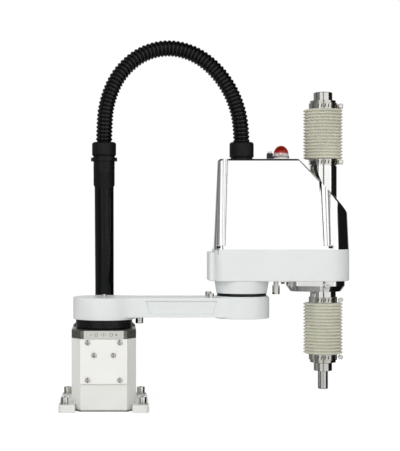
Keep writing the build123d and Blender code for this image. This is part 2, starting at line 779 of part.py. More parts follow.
def arm1_casting():
    """First arm with its two bores, raised pad and side panels."""
    low = ARM1_LOW + WAIST_LIFT
    body = prism(arm1_outline(), low, ARM1_TOP)
    body = fillet(body.faces().sort_by(Axis.Z)[-1].edges(), ARM1_EDGE)
    for radius, foot_z, x in ((ARM1_END_R, ARM1_LOW, 0), (ARM1_TIP_R, ARM1_LOW + TIP_LIFT, J2_X)):
        foot = disc(radius, foot_z, low + OVER, x)
        body += fillet(foot.faces().sort_by(Axis.Z)[0].edges(), 1.0)
    body += disc(PAD_R, ARM1_TOP, PAD_TOP, J2_X)
    body -= side_recess(-1)
    body -= side_recess(1)
    body -= disc(BORE2_R, BORE2_FLOOR, PAD_TOP + OVER, J2_X)
    for x, y in stop2_places():
        body -= disc(SCREW_R + SEAT_GAP, ARM1_TOP - 11.0, ARM1_TOP + OVER, x, y)
    body -= disc(SCREW_R + SEAT_GAP, ARM1_TOP - 9.0, ARM1_TOP + OVER)
    return body - disc(SCREW_R + SEAT_GAP, ARM1_LOW - OVER, low + 9.0, STOP_RADIUS)


def cap_screw(radius, height, seat, bite, x, y):
    """A cap screw with a round socket, standing on a seat."""
    head = disc(radius, seat, seat + height, x, y)
    head = chamfer(head.faces().sort_by(Axis.Z)[-1].edges(), 0.4)
    head -= disc(0.45 * radius, seat + 0.5 * height, seat + height + OVER, x, y)
    return head + disc(SCREW_R, seat - bite, seat, x, y)


def arm1_top_bolts():
    """Two stop bolts and the small screw over the first axis."""
    bolts = [cap_screw(STOP2_BOLT_R, STOP2_BOLT_H, ARM1_TOP, 10.0, x, y) for x, y in stop2_places()]
    return bolts + [cap_screw(CAP_SCREW_R, CAP_SCREW_H, ARM1_TOP, 8.0, 0, 0)]


def j1_stop_pin():
    """Pin under the first arm that meets the stop bolts."""
    seat = ARM1_LOW + WAIST_LIFT
    pin = disc(STOP1_PIN_R, ARM1_LOW - STOP1_PIN_H, seat, STOP_RADIUS)
    pin = chamfer(pin.faces().sort_by(Axis.Z)[0].edges(), 0.8)
    return pin + disc(SCREW_R, seat, seat + 8.0, STOP_RADIUS)


# Second joint


def j2_seal_ring():
    """Black ring between the arms."""
    points = [
        (BORE2_R, PAD_TOP), (SEAL2_R, PAD_TOP), (SEAL2_R, PAD_TOP + 1.8), (SEAL2_R - 0.6, PAD_TOP + 2.2),
        (SEAL2_R, PAD_TOP + 2.6), (SEAL2_R, SEAL2_TOP), (BORE2_R, SEAL2_TOP),
    ]
    return turned(points, J2_X)


def j2_bearing():
    """Bearing that carries the second arm in the first arm's bore."""
    low = BORE2_FLOOR + SPLINE2_H
    return ring(BORE2_R - SEAT_GAP, HUB2_R, low, SEAL2_TOP - 0.5, J2_X)


def j2_circular_spline():
    """Fixed ring of the second reducer and its thin cup."""
    top = BORE2_FLOOR + SPLINE2_H
    outer = ring(BORE2_R - SEAT_GAP, SPLINE2_R, BORE2_FLOOR, top, J2_X)
    return [outer, flexible_cup(SPLINE2_R, BORE2_FLOOR, top - 1.0, J2_X)]


def j2_hub():
    """Steel spigot under the second arm."""
    seat = BOSS_LOW + HUB2_FLANGE_T
    low = BORE2_FLOOR + SPLINE2_H + TURN_GAP
    points = [
        (HUB2_BORE_R, low), (HUB2_R - FIT, low), (HUB2_R - FIT, BOSS_LOW), (BORE2_R - SEAT_GAP, BOSS_LOW),
        (BORE2_R - SEAT_GAP, seat), (HUB2_BORE_R, seat),
    ]
    return turned(points, J2_X)


def j2_wave_generator():
    """Oval disc on the second motor's long shaft."""
    radius = SPLINE2_R - 2 * CUP_GAP - CUP_WALL
    top = BORE2_FLOOR + SPLINE2_H - 0.5
    body = generator_disc(radius, MOTOR2_SHAFT_R, BORE2_FLOOR + 0.5, top, J2_X)
    return body + disc(MOTOR2_SHAFT_R, top, ARM2_DECK + 22.0, J2_X)


def j2_motor():
    """Motor of the second joint, standing on the second arm's floor."""
    return motor(MOTOR2_SIDE, MOTOR2_LENGTH, ARM2_DECK, J2_X, 0, MOTOR2_SHAFT_R, 24.0, up=False)


# Second arm


def arm2_outline(inset):
    """The second arm from above: a blunt back with round corners and a round end."""
    corner = ARM2_CORNER_R
    x = J2_X - ARM2_BACK + corner
    y = ARM2_BACK_HALF - corner
    return blunt_outline(corner - inset, x, y, ARM2_END_R - inset, J3_X)


def arm2_boss():
    """Round foot of the second arm over the second joint."""
    points = [(0, BOSS_LOW), (BOSS_LOW_R, BOSS_LOW), (BOSS_HIGH_R, ARM2_LOW), (0, ARM2_LOW)]
    return turned(points, J2_X)


def arm2_back_block():
    """Thick rounded block at the back of the second arm."""
    x_range = (J2_X - BLOCK_REACH, J2_X - ARM2_BACK + ARM2_WALL)
    body = block(x_range, (-BLOCK_HALF, BLOCK_HALF), (ARM2_LOW, ARM2_TOP - BLOCK_DROP))
    outer = body.edges().filter_by(Axis.Z).group_by(Axis.X)[0]
    body = fillet(outer, BLOCK_ROUND)
    return fillet(body.faces().sort_by(Axis.X)[0].edges().filter_by(Axis.Y), 2.0)


def hood_screw_places():
    """Four screws at the foot of the hood."""
    back = (J2_X - HOOD_BACK + 7.0, HOOD_HALF - 4.5)
    end = (J3_X + 6.0, HOOD_END_R - 2.2)
    return [(x, s * y) for x, y in (back, end) for s in (-1, 1)]


def arm2_casting():
    """Tray-shaped casting that carries the motors, open on top under the hood."""
    body = prism(arm2_outline(0), ARM2_LOW, ARM2_TOP)
    body = fillet(body.faces().sort_by(Axis.Z)[0].edges(), 1.5)
    body += arm2_boss() + arm2_back_block()
    body -= prism(arm2_outline(ARM2_WALL), ARM2_DECK, ARM2_TOP + OVER)
    boss_top = ARM2_DECK + BEARING_T
    body += disc(BEARING_OUT_R + 6.0, ARM2_DECK, boss_top, J3_X)
    body -= disc(BEARING_OUT_R + SEAT_GAP, ARM2_DECK, boss_top + OVER, J3_X)
    body -= disc(NUT_OUT_R + 1.5, ARM2_LOW - OVER, ARM2_DECK + OVER, J3_X)
    seat = BOSS_LOW + HUB2_FLANGE_T
    body -= disc(BORE2_R, BOSS_LOW - OVER, seat, J2_X)
    body -= disc(HUB2_BORE_R + 2.0, seat - OVER, ARM2_DECK + OVER, J2_X)
    for x, y in hood_screw_places():
        body -= disc(1.6, ARM2_TOP - 8.0, ARM2_TOP + OVER, x, y)
    return body - disc(SCREW_R + SEAT_GAP, ARM2_LOW - OVER, ARM2_LOW + 6.0, J2_X + PIN2_RADIUS)


def j2_stop_pin():
    """Pin under the second arm that meets the first arm's stop bolts."""
    x = J2_X + PIN2_RADIUS
    low = ARM2_LOW - PIN2_LENGTH
    head = prism(Pos(x, 0) * RegularPolygon(PIN2_HEAD_R, 6), low, low + PIN2_HEAD_H)
    return head + disc(PIN2_R, low + PIN2_HEAD_H, ARM2_LOW, x) + disc(SCREW_R, ARM2_LOW, ARM2_LOW + 5.0, x)


def flute(x_low, x_high, r_low, r_high, side, inset):
    """Round groove up one side of the hood, wider at the top."""
    lean = HOOD_H * math.tan(math.radians(HOOD_TAPER))
    low_z = ARM2_TOP + FLUTE_LOW - inset
    high_z = HOOD_TOP + OVER
    low = Pos(x_low, side * (HOOD_HALF + 0.35 * r_low), low_z) * Circle(r_low + inset)
    high = Pos(x_high, side * (HOOD_HALF + 0.35 * r_high - lean), high_z) * Circle(r_high + inset)
    return loft([low, high])


def hood_form(inset):
    """The hood's solid form, moved in by a wall."""
    corner = HOOD_CORNER_R
    x = J2_X - HOOD_BACK + corner
    y = HOOD_HALF - corner
    outline = blunt_outline(corner - inset, x, y, HOOD_END_R - inset, J3_X)
    top = HOOD_TOP - inset
    form = prism(outline, ARM2_TOP, top, taper=HOOD_TAPER)
    long = math.hypot(SLOPE_RUN, SLOPE_DROP)
    start = Vector(J3_X - SLOPE_START, 0, HOOD_TOP)
    along = Vector(SLOPE_RUN, 0, -SLOPE_DROP) / long
    inward = Vector(-SLOPE_DROP, 0, -SLOPE_RUN) / long * inset
    reach = 2 * long
    near = start + inward - along * reach
    far = start + inward + along * reach
    above = Vector(far.X, 0, near.Z)
    cutter = make_face(Polyline(tuple(near), tuple(far), tuple(above), close=True))
    return form - extrude(cutter, HOOD_HALF + 10.0, both=True, dir=(0, 1, 0))


def hood_cuts(inset):
    """Four flutes and four screw notches, made larger by a wall."""
    cuts = []
    flute_x = J2_X - FLUTE_BACK_X
    for side in (-1, 1):
        cuts.append(flute(flute_x, flute_x + 3.0, FLUTE_BACK_LOW_R, FLUTE_BACK_HIGH_R, side, inset))
        cuts.append(flute(J3_X, J3_X - 4.0, FLUTE_END_LOW_R, FLUTE_END_HIGH_R, side, inset))
    floor = ARM2_TOP + NOTCH_FLOOR if inset == 0 else ARM2_TOP - OVER
    for x, y in hood_screw_places():
        cuts.append(disc(NOTCH_R + inset, floor, ARM2_TOP + NOTCH_H + inset, x, y))
    return cuts


def hood():
    """Bright plated shell over the motors, cut at a slope for the shaft's tube."""
    outer = hood_form(0)
    upper = outer.faces().filter_by(lambda f: f.normal_at().Z > 0.5)
    outer = fillet(upper.edges(), HOOD_ROUND)
    inner = hood_form(HOOD_WALL)
    for cut in hood_cuts(HOOD_WALL):
        inner -= cut
    shell = outer - inner
    for cut in hood_cuts(0):
        shell -= cut
    shell -= disc(TUBE_R + SEAT_GAP, ARM2_TOP + HOOD_WALL, HOOD_TOP + OVER, J3_X)
    shell -= disc(HOSE_R - HOSE_WALL, HOOD_TOP - 5.0, HOOD_TOP + OVER, J2_X)
    for x, y in hood_screw_places():
        shell -= disc(1.6, ARM2_TOP - OVER, ARM2_TOP + NOTCH_H, x, y)
    return shell


def arm2_screws():
    """Four hood screws, the cover's front screw and the screw of its tab."""
    screws = []
    seat = ARM2_TOP + NOTCH_FLOOR
    for x, y in hood_screw_places():
        head = disc(3.2, seat, seat + 3.4, x, y) - disc(1.4, seat + 1.6, seat + 4.0, x, y)
        screws.append(head + disc(1.5, ARM2_TOP - 7.5, seat, x, y))
    tab_x = J2_X + LOWER_COVER_TIP_X - LOWER_COVER_TIP_R - 5.0
    low = ARM2_LOW - TAB_T
    screws.append(disc(3.0, low - 3.0, low, tab_x) + disc(1.5, low, ARM2_LOW, tab_x))
    front = -LOWER_COVER_R
    screws.append(rod_y(4.5, front, front - 3.5, J3_X, ARM2_LOW - 0.5 * LOWER_COVER_SIDE - 1.0))
    return screws


# Shaft drive


def belt_pulley(radius, low, x, y):
    """Belt wheel with a thin rim on both sides."""
    high = low + PULLEY_H
    rim = radius + PULLEY_FLANGE
    body = disc(radius, low, high, x, y)
    body += disc(rim, low, low + PULLEY_FLANGE_T, x, y)
    return body + disc(rim, high - PULLEY_FLANGE_T, high, x, y)


def drive_belt(low, motor_y):
    """Flat loop round a motor wheel and a nut wheel."""
    z_low = low + (PULLEY_H - BELT_W) / 2
    inner = hull([(MOTOR_PULLEY_R + BELT_GAP, J2_X + MOTOR_X, motor_y), (PULLEY_R + BELT_GAP, J3_X, 0)])
    gap = BELT_GAP + BELT_T
    outer = hull([(MOTOR_PULLEY_R + gap, J2_X + MOTOR_X, motor_y), (PULLEY_R + gap, J3_X, 0)])
    return prism(outer, z_low, z_low + BELT_W) - prism(inner, z_low - OVER, z_low + BELT_W + OVER)


def screw_nut():
    """Ball screw nut with its belt wheel, turning in the upper bracket."""
    low = PLATE_LOW - SCREW_NUT_BELOW
    body = disc(NUT_OUT_R, low, PLATE_TOP + SCREW_NUT_ABOVE, J3_X)
    body += belt_pulley(PULLEY_R, Z_PULLEY_LOW, J3_X, 0)
    return body - disc(SHAFT_R + FIT, low - OVER, PLATE_TOP + SCREW_NUT_ABOVE + OVER, J3_X)


def spline_nut():
    """Ball spline nut with its belt wheel, turning in the casting's boss."""
    low = ARM2_LOW + SPLINE_NUT_LIFT
    high = U_PULLEY_LOW + PULLEY_H
    body = disc(NUT_OUT_R, low, high, J3_X) + belt_pulley(PULLEY_R, U_PULLEY_LOW, J3_X, 0)
    return body - disc(SHAFT_R + FIT, low - OVER, high + OVER, J3_X)


def nut_bearings():
    """Bearings of the spline nut and of the screw nut."""
    inner = NUT_OUT_R + FIT
    lower = ring(BEARING_OUT_R, inner, ARM2_DECK, ARM2_DECK + BEARING_T, J3_X)
    return [lower, ring(BEARING_OUT_R, inner, PLATE_LOW, PLATE_TOP, J3_X)]


def motor_wheel(low, motor_y, shaft_low, shaft_high):
    """Small belt wheel on a motor shaft."""
    x = J2_X + MOTOR_X
    wheel = belt_pulley(MOTOR_PULLEY_R, low, x, motor_y)
    return wheel + disc(MOTOR_SHAFT_R, shaft_low, shaft_high, x, motor_y)


def z_motor_pulley():
    """Wheel that drives the screw nut."""
    return motor_wheel(Z_PULLEY_LOW, MOTOR_Y, PLATE_LOW - MOTOR_SHAFT_DEEP + 2.0, Z_PULLEY_LOW + PULLEY_H)


def u_motor_pulley():
    """Wheel that drives the spline nut."""
    top = U_PLATE_LOW + U_PLATE_T + MOTOR_SHAFT_DEEP - 2.0
    return motor_wheel(U_PULLEY_LOW, -MOTOR_Y, U_PULLEY_LOW, top)


def z_motor():
    """Motor of the sliding movement, hanging under the upper bracket."""
    low = PLATE_LOW - MOTOR_LENGTH
    return motor(MOTOR_SIDE, MOTOR_LENGTH, low, J2_X + MOTOR_X, MOTOR_Y, MOTOR_SHAFT_R, MOTOR_SHAFT_DEEP)


def u_motor():
    """Motor of the turning movement, standing on its own bracket."""
    low = U_PLATE_LOW + U_PLATE_T
    x = J2_X + MOTOR_X
    return motor(MOTOR_SIDE, MOTOR_LENGTH, low, x, -MOTOR_Y, MOTOR_SHAFT_R, MOTOR_SHAFT_DEEP, up=False)


def upper_bracket():
    """Plate on three posts that carries the screw nut and its motor."""
    half = MOTOR_SIDE / 2
    motor_x = J2_X + MOTOR_X
    plate = disc(PLATE_R, PLATE_LOW, PLATE_TOP, J3_X)
    y_range = (MOTOR_Y - half, MOTOR_Y + half)
    arm = block((motor_x - half, J3_X), (y_range[0], PLATE_R), (PLATE_LOW, PLATE_TOP))
    plate += arm + block((motor_x - half, motor_x + half), y_range, (PLATE_LOW, PLATE_TOP))
    plate -= disc(BEARING_OUT_R + SEAT_GAP, PLATE_LOW - OVER, PLATE_TOP + OVER, J3_X)
    plate -= disc(MOTOR_SHAFT_R + 0.5, PLATE_LOW - OVER, PLATE_TOP + OVER, motor_x, MOTOR_Y)
    for angle in (-32.0, 32.0, 125.0):
        x = J3_X + POST_RADIUS * math.cos(math.radians(angle))
        y = POST_RADIUS * math.sin(math.radians(angle))
        plate += disc(POST_R, ARM2_DECK, PLATE_LOW + OVER, x, y)
    return plate


def u_motor_bracket():
    """Small shelf for the turning motor, with a leg on each side of the belt."""
    half = MOTOR_SIDE / 2
    x = J2_X + MOTOR_X
    high = U_PLATE_LOW + U_PLATE_T
    shelf = block((x - half, x + half), (-MOTOR_Y - half, -MOTOR_Y + half), (U_PLATE_LOW, high))
    shelf -= disc(MOTOR_SHAFT_R + 0.5, U_PLATE_LOW - OVER, high + OVER, x, -MOTOR_Y)
    leg_z = (ARM2_DECK, U_PLATE_LOW + OVER)
    back = block((x - half, x - half + 3.5), (-MOTOR_Y - half, -MOTOR_Y + half), leg_z)
    side_y = (-MOTOR_Y - half, -MOTOR_Y - half + 2.5)
    return shelf + back + block((x + half - 8.0, x + half), side_y, leg_z)


def shaft():
    """Hollow shaft that slides and turns, with a groove for the lower collar's screw."""
    high = SHAFT_LOW + SHAFT_LENGTH
    body = disc(SHAFT_R, SHAFT_LOW, high, J3_X)
    body = chamfer(body.faces().sort_by(Axis.Z)[0].edges(), 0.8)
    groove = LOWER_COLLAR_LOW - SHAFT_GROOVE_DROP
    body -= ring(SHAFT_R + OVER, SHAFT_R - 0.5, groove, groove + SHAFT_GROOVE_W, J3_X)
    return body - disc(SHAFT_BORE_R, SHAFT_LOW - OVER, high + OVER, J3_X)


# Bellows and what holds them


def bellows(low, high, cuff_low, cuff_high):
    """Thin folded tube with a plain cuff at each end."""
    inner = SLEEVE_R + SEAT_GAP
    outer = inner + CUFF_WALL
    pitch = (high - low) / BELLOWS_FOLDS
    outside = [(outer, cuff_low), (outer, low)]
    for fold in range(BELLOWS_FOLDS):
        outside.append((BELLOWS_R, low + (fold + 0.5) * pitch))
        if fold < BELLOWS_FOLDS - 1:
            outside.append((BELLOWS_ROOT_R, low + (fold + 1) * pitch))
    outside += [(outer, high), (outer, cuff_high)]
    inside = [(inner, cuff_high), (inner, high)]
    for fold in reversed(range(BELLOWS_FOLDS)):
        inside.append((BELLOWS_R - BELLOWS_WALL, low + (fold + 0.5) * pitch))
        if fold > 0:
            inside.append((BELLOWS_ROOT_R - BELLOWS_WALL, low + fold * pitch))
    inside += [(inner, low), (inner, cuff_low)]
    return turned(outside + inside, J3_X)


def upper_bellows():
    """Bellows over the upper end of the shaft."""
    return bellows(TUBE_TOP, UPPER_CASE_LOW, TUBE_TOP - CUFF_H, UPPER_CASE_LOW + CUFF_H)


def lower_bellows():
    """Bellows under the second arm."""
    return bellows(LOWER_CASE_TOP, SLEEVE_LOW, LOWER_CASE_TOP - CUFF_H, SLEEVE_LOW + CUFF_H)


def clamp(low, with_screw):
    """Metal band round a cuff, some with a worm screw box at the right."""
    inner = SLEEVE_R + SEAT_GAP + CUFF_WALL + SEAT_GAP
    outer = inner + CLAMP_T
    z = low + CLAMP_W / 2
    band = ring(outer, inner, low, low + CLAMP_W, J3_X)
    if with_screw:
        x_range = (J3_X + outer - 0.6, J3_X + CLAMP_SCREW_REACH)
        band += block(x_range, (-5.0, 5.0), (low + 1.0, low + CLAMP_W - 1.0))
        band += rod_y(CLAMP_SCREW_R, -8.0, 8.0, J3_X + CLAMP_SCREW_REACH - 5.0, z)
        band -= disc(inner, low - OVER, low + CLAMP_W + OVER, J3_X)
    return band


def fixed_clamps():
    """Clamps on the sleeve and on the tube of the second arm."""
    return [clamp(SLEEVE_LOW, False), clamp(TUBE_TOP - CLAMP_W, True)]


def moving_clamps():
    """Clamps on the two bearing cases that ride with the shaft."""
    return [clamp(LOWER_CASE_TOP - CLAMP_W, False), clamp(UPPER_CASE_LOW, True)]


def bearing_cases():
    """Cases that let the shaft turn inside the bellows' moving ends."""
    cases = []
    bands = ((LOWER_CASE_TOP - CASE_H, LOWER_CASE_TOP), (UPPER_CASE_LOW, UPPER_CASE_LOW + CASE_H))
    for low, high in bands:
        cases.append(ring(SLEEVE_R, SHAFT_R + FIT, low, high, J3_X))
    return cases


def collar(low, radius):
    """Split clamp collar on the shaft."""
    body = ring(radius, SHAFT_R, low, low + COLLAR_H, J3_X)
    body = chamfer(body.faces().sort_by(Axis.Z)[-1].outer_wire().edges(), 0.8)
    slit = COLLAR_SLIT / 2
    return body - block((J3_X, J3_X + radius + OVER), (-slit, slit), (low - OVER, low + COLLAR_H + OVER))


def stop_collars():
    """Collars that hold the bearing cases between them."""
    high = UPPER_CASE_LOW + CASE_H + TURN_GAP
    return [collar(LOWER_COLLAR_LOW, COLLAR_LOW_R), collar(high, COLLAR_TOP_R)]


def upper_tube():
    """Bright tube that rises through the hood's slope."""
    inner = SLEEVE_R - SLEEVE_WALL
    low = Z_PULLEY_LOW + PULLEY_H + PULLEY_CLEAR
    neck = TUBE_TOP - TUBE_NECK_H
    points = [
        (inner, low), (TUBE_R, low), (TUBE_R, neck), (SLEEVE_R, neck),
        (SLEEVE_R, TUBE_TOP), (inner, TUBE_TOP),
    ]
    return turned(points, J3_X)


def lower_sleeve():
    """Sleeve under the plated cover that carries the lower bellows."""
    inner = SLEEVE_R - SLEEVE_WALL
    seat = LOWER_COVER_LOW + LOWER_COVER_WALL
    high = seat + SLEEVE_FLANGE_T
    points = [
        (inner, SLEEVE_LOW), (SLEEVE_R, SLEEVE_LOW), (SLEEVE_R, seat), (SLEEVE_FLANGE_R, seat),
        (SLEEVE_FLANGE_R, high), (inner, high),
    ]
    return turned(points, J3_X)


def lower_cover_form(inset):
    """Plan of the lower cover with a slanted lower edge, moved in by a wall."""
    circles = [(LOWER_COVER_R - inset, J3_X, 0), (LOWER_COVER_TIP_R - inset, J2_X + LOWER_COVER_TIP_X, 0)]
    top = ARM2_LOW if inset == 0 else ARM2_LOW + OVER
    form = prism(hull(circles), LOWER_COVER_LOW + inset, top)
    edges = form.faces().sort_by(Axis.Z)[0].edges()
    return chamfer(edges, LOWER_COVER_H - LOWER_COVER_SIDE - inset, LOWER_COVER_SLANT - inset * 0.5)


def lower_cover():
    """Plated cover under the second arm, with a tab at its back."""
    body = lower_cover_form(0) - lower_cover_form(LOWER_COVER_WALL)
    body -= disc(SLEEVE_R + SEAT_GAP, LOWER_COVER_LOW - OVER, LOWER_COVER_LOW + LOWER_COVER_WALL + OVER, J3_X)
    tip = J2_X + LOWER_COVER_TIP_X - LOWER_COVER_TIP_R
    tab = block((tip - 10.0, tip + 1.0), (-7.0, 7.0), (ARM2_LOW - TAB_T, ARM2_LOW))
    return body + (tab - disc(1.6, ARM2_LOW - 2 * TAB_T, ARM2_LOW + OVER, tip - 5.0))


# Top of the hood


def lamp_base():
    """Round foot of the signal lamp with a small bulb post."""
    x = J2_X + LAMP_X - 4.0
    high = HOOD_TOP + LAMP_BASE_T
    return disc(LAMP_R, HOOD_TOP, high, x) + disc(3.5, high, high + 8.0, x)


def lamp_lens():
    """Thin domed lens of the lamp."""
    x = J2_X + LAMP_X - 4.0
    low = HOOD_TOP + LAMP_BASE_T
    shoulder = low + LAMP_SIDE_H
    rise = HOOD_TOP + LAMP_H - shoulder
    outer = disc(LAMP_LENS_R, low, shoulder, x) + lens_dome(LAMP_LENS_R, rise, shoulder, x)
    inner_r = LAMP_LENS_R - LENS_WALL
    inner = disc(inner_r, low - OVER, shoulder, x) + lens_dome(inner_r, rise - LENS_WALL, shoulder, x)
    return outer - inner


def lens_dome(radius, rise, low, x):
    """Dome turned from a quarter of an oval."""
    pull = 0.55
    arc = Bezier((radius, 0), (radius, pull * rise), (pull * radius, rise), (0, rise))
    face = make_face([arc, Line((0, rise), (0, 0)), Line((0, 0), (radius, 0))])
    return Pos(x, 0, low) * revolve(Plane.XZ * face, Axis.Z)


def brake_switch():
    """Black box with a well for the brake release button."""
    x = J2_X + SWITCH_X - 40.0
    half = SWITCH_WIDE / 2
    body = block((x - half, x + half), (-SWITCH_DEEP / 2, SWITCH_DEEP / 2), (HOOD_TOP, HOOD_TOP + SWITCH_H))
    body = fillet(body.edges().filter_by(Axis.Z), 0.8)
    return body - disc(BUTTON_STEM_R + FIT, HOOD_TOP + 3.0, HOOD_TOP + SWITCH_H + OVER, x)


def brake_button():
    """Round button that is pushed down to free the brake."""
    x = J2_X + SWITCH_X - 40.0
    top = HOOD_TOP + SWITCH_H + BUTTON_OUT
    return disc(BUTTON_STEM_R, HOOD_TOP + 3.0 + BUTTON_TRAVEL + 0.5, top, x)


def build_base():
    """Write the pieces that stand still."""
    save("base_casting", base_casting())
    save("bottom_plate", bottom_plate())
    save("front_cover", front_cover())
    save("front_cover_gasket", front_cover_gasket())
    save("base_screws", *base_screws())
    save("scale_plate", scale_plate())
    save("j1_flange", j1_flange())
    save("j1_flange_bolts", *j1_flange_bolts())
    save("j1_bearing_housing", j1_bearing_housing())
    save("j1_motor", j1_motor())
    save("j1_circular_spline", j1_circular_spline())
    save("rear_panel", rear_panel())
    save("user_connector", user_connector())
    save("air_fittings", *air_fittings())
    save("cable_gland", cable_gland())
    save("pipe_socket", pipe_socket())
    save("duct_pipe", duct_pipe())
    save("pipe_adapter", pipe_adapter())
    nut_low = ADAPTER_TOP + ADAPTER_RIM_T
    save("lower_hose_nut", hose_nut(nut_low, nut_low + NUT_H, 0))
    save("j1_wave_generator", j1_wave_generator())


def build_arm1():
    """Write the pieces that swing with the first arm."""
    save("arm1_casting", arm1_casting())
    save("j1_hub", *j1_hub())
    save("arm1_top_bolts", *arm1_top_bolts())
    save("j1_stop_pin", j1_stop_pin())
    save("j2_seal_ring", j2_seal_ring())
    save("j2_bearing", j2_bearing())
    save("j2_circular_spline", *j2_circular_spline())
    save("guide_hose", hose())


def build_arm2():
    """Write the pieces that swing with the second arm."""
    save("j2_wave_generator", j2_wave_generator())
    save("arm2_casting", arm2_casting())
    save("j2_hub", j2_hub())
    save("j2_stop_pin", j2_stop_pin())
    save("j2_motor", j2_motor())
    save("hood", hood())
    save("arm2_screws", *arm2_screws())
    save("lower_cover", lower_cover())
    save("lower_sleeve", lower_sleeve())
    save("upper_tube", upper_tube())
    save("upper_bellows", upper_bellows())
    save("lower_bellows", lower_bellows())
    save("fixed_clamps", *fixed_clamps())
    save("upper_hose_nut", hose_nut(HOOD_TOP, HOOD_TOP + NUT_H + NUT_STEP, J2_X))
    save("lamp_base", lamp_base())
    save("lamp_lens", lamp_lens())
    save("brake_switch", brake_switch())
    save("brake_button", brake_button())


def build_drive():
    """Write the shaft and what drives it."""
    save("upper_bracket", upper_bracket())
    save("u_motor_bracket", u_motor_bracket())
    save("z_motor", z_motor())
    save("u_motor", u_motor())
    save("drive_belts", drive_belt(Z_PULLEY_LOW, MOTOR_Y), drive_belt(U_PULLEY_LOW, -MOTOR_Y))
    save("nut_bearings", *nut_bearings())
    save("z_motor_pulley", z_motor_pulley())
    save("u_motor_pulley", u_motor_pulley())
    save("screw_nut", screw_nut())
    save("spline_nut", spline_nut())
    save("bearing_cases", *bearing_cases())
    save("moving_clamps", *moving_clamps())
    save("shaft", shaft())
    save("stop_collars", *stop_collars())


os.makedirs("parts", exist_ok=True)
build_base()
build_arm1()
build_arm2()
build_drive()
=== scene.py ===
import json
import logging
import math
from collections.abc import Sequence
from dataclasses import dataclass, field
from enum import Enum
from functools import cache, partial

import bmesh
import bpy
import numpy as np
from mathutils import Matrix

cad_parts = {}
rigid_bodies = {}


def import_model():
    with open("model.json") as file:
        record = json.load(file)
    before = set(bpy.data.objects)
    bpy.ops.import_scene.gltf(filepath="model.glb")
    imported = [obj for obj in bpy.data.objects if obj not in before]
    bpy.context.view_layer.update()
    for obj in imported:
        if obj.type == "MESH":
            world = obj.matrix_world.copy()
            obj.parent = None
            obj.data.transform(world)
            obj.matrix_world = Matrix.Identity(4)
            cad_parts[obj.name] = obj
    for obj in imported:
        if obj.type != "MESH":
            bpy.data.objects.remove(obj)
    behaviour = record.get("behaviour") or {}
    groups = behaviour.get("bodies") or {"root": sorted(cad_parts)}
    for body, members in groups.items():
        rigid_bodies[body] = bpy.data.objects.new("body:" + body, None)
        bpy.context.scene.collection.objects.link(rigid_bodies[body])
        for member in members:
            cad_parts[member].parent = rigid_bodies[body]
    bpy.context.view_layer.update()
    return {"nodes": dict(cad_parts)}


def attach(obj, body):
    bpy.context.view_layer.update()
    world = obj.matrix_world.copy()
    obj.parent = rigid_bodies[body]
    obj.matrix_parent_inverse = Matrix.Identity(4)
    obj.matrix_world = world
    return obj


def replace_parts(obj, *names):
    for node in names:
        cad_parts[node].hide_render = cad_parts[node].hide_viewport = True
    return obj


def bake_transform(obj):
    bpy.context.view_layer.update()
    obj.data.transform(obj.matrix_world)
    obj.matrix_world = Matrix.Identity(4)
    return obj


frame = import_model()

LOG = logging.getLogger("robot_scene")

Array = np.ndarray
Point = tuple[float, float, float]
Tint = tuple[float, float, float]
Piece = bpy.types.Object
Socket = bpy.types.NodeSocket
Tree = bpy.types.NodeTree
Profile = Sequence[tuple[float, float]]

TAU = 2.0 * math.pi
MM = 0.001
X, Y, Z = (1.0, 0.0, 0.0), (0.0, 1.0, 0.0), (0.0, 0.0, 1.0)
UP: Point = Z
DOWN: Point = (0.0, 0.0, -1.0)
FRONT: Point = (0.0, -1.0, 0.0)
BACK: Point = Y
HEX_SIDES = 6

# Places of the two outer axes along the arms, in millimetres
J2_X = 220.0
J3_X = 350.0


# Surfaces


def grid_quads(rows: int, columns: int, wrap: bool) -> Array:
    """Quads between neighbouring rows and columns of a grid of points.

    Args:
        rows: number of rows.
        columns: number of points in a row.
        wrap: whether each row's last point joins its first.

    Returns:
        Whole numbers of shape (faces, 4).
    """
    here = np.arange(columns if wrap else columns - 1)
    after = (here + 1) % columns
    low = np.arange(rows - 1)[:, None] * columns
    quads = [low + here, low + after, low + columns + after, low + columns + here]
    return np.stack(quads, axis=-1).reshape(-1, 4)


def turned(profile: Sequence[Sequence[float]], steps: int = 64, ripple: Array | None = None) -> Array:
    """Surface of revolution about the local Z axis: (r cos t, r sin t, h).

    Args:
        profile: (radius, height) pairs in millimetres.
        steps: points round the axis.
        ripple: lengths added to the radius, one row for each profile point.

    Returns:
        A grid of shape (profile points, steps, 3).
    """
    pairs = np.asarray(profile, float)
    turn = np.linspace(0.0, TAU, steps, endpoint=False)
    radius = np.repeat(pairs[:, :1], steps, axis=1)
    if ripple is not None:
        radius = radius + ripple
    height = np.repeat(pairs[:, 1:], steps, axis=1)
    return np.stack([radius * np.cos(turn), radius * np.sin(turn), height], axis=-1)


def polygon_radius(across_flats: float, sides: int, turn: Array) -> Array:
    """Distance from the middle of a regular polygon to its side at each angle."""
    sector = TAU / sides
    return 0.5 * across_flats / np.cos(np.mod(turn, sector) - 0.5 * sector)


def aimed(points: Array, origin: Sequence[float], axis: Sequence[float]) -> Array:
    """Turns points so that their local Z runs along an axis, then moves them.

    Args:
        points: any shape ending in 3, in millimetres.
        origin: where the local origin goes.
        axis: the direction that the local Z takes.

    Returns:
        The points in the robot's frame.
    """
    along = np.asarray(axis, float) / np.linalg.norm(axis)
    helper = np.array(X if abs(along[0]) < 0.9 else Y)
    side = np.cross(helper, along)
    side /= np.linalg.norm(side)
    basis = np.stack([np.cross(side, along), side, along])
    return points @ basis + np.asarray(origin, float)


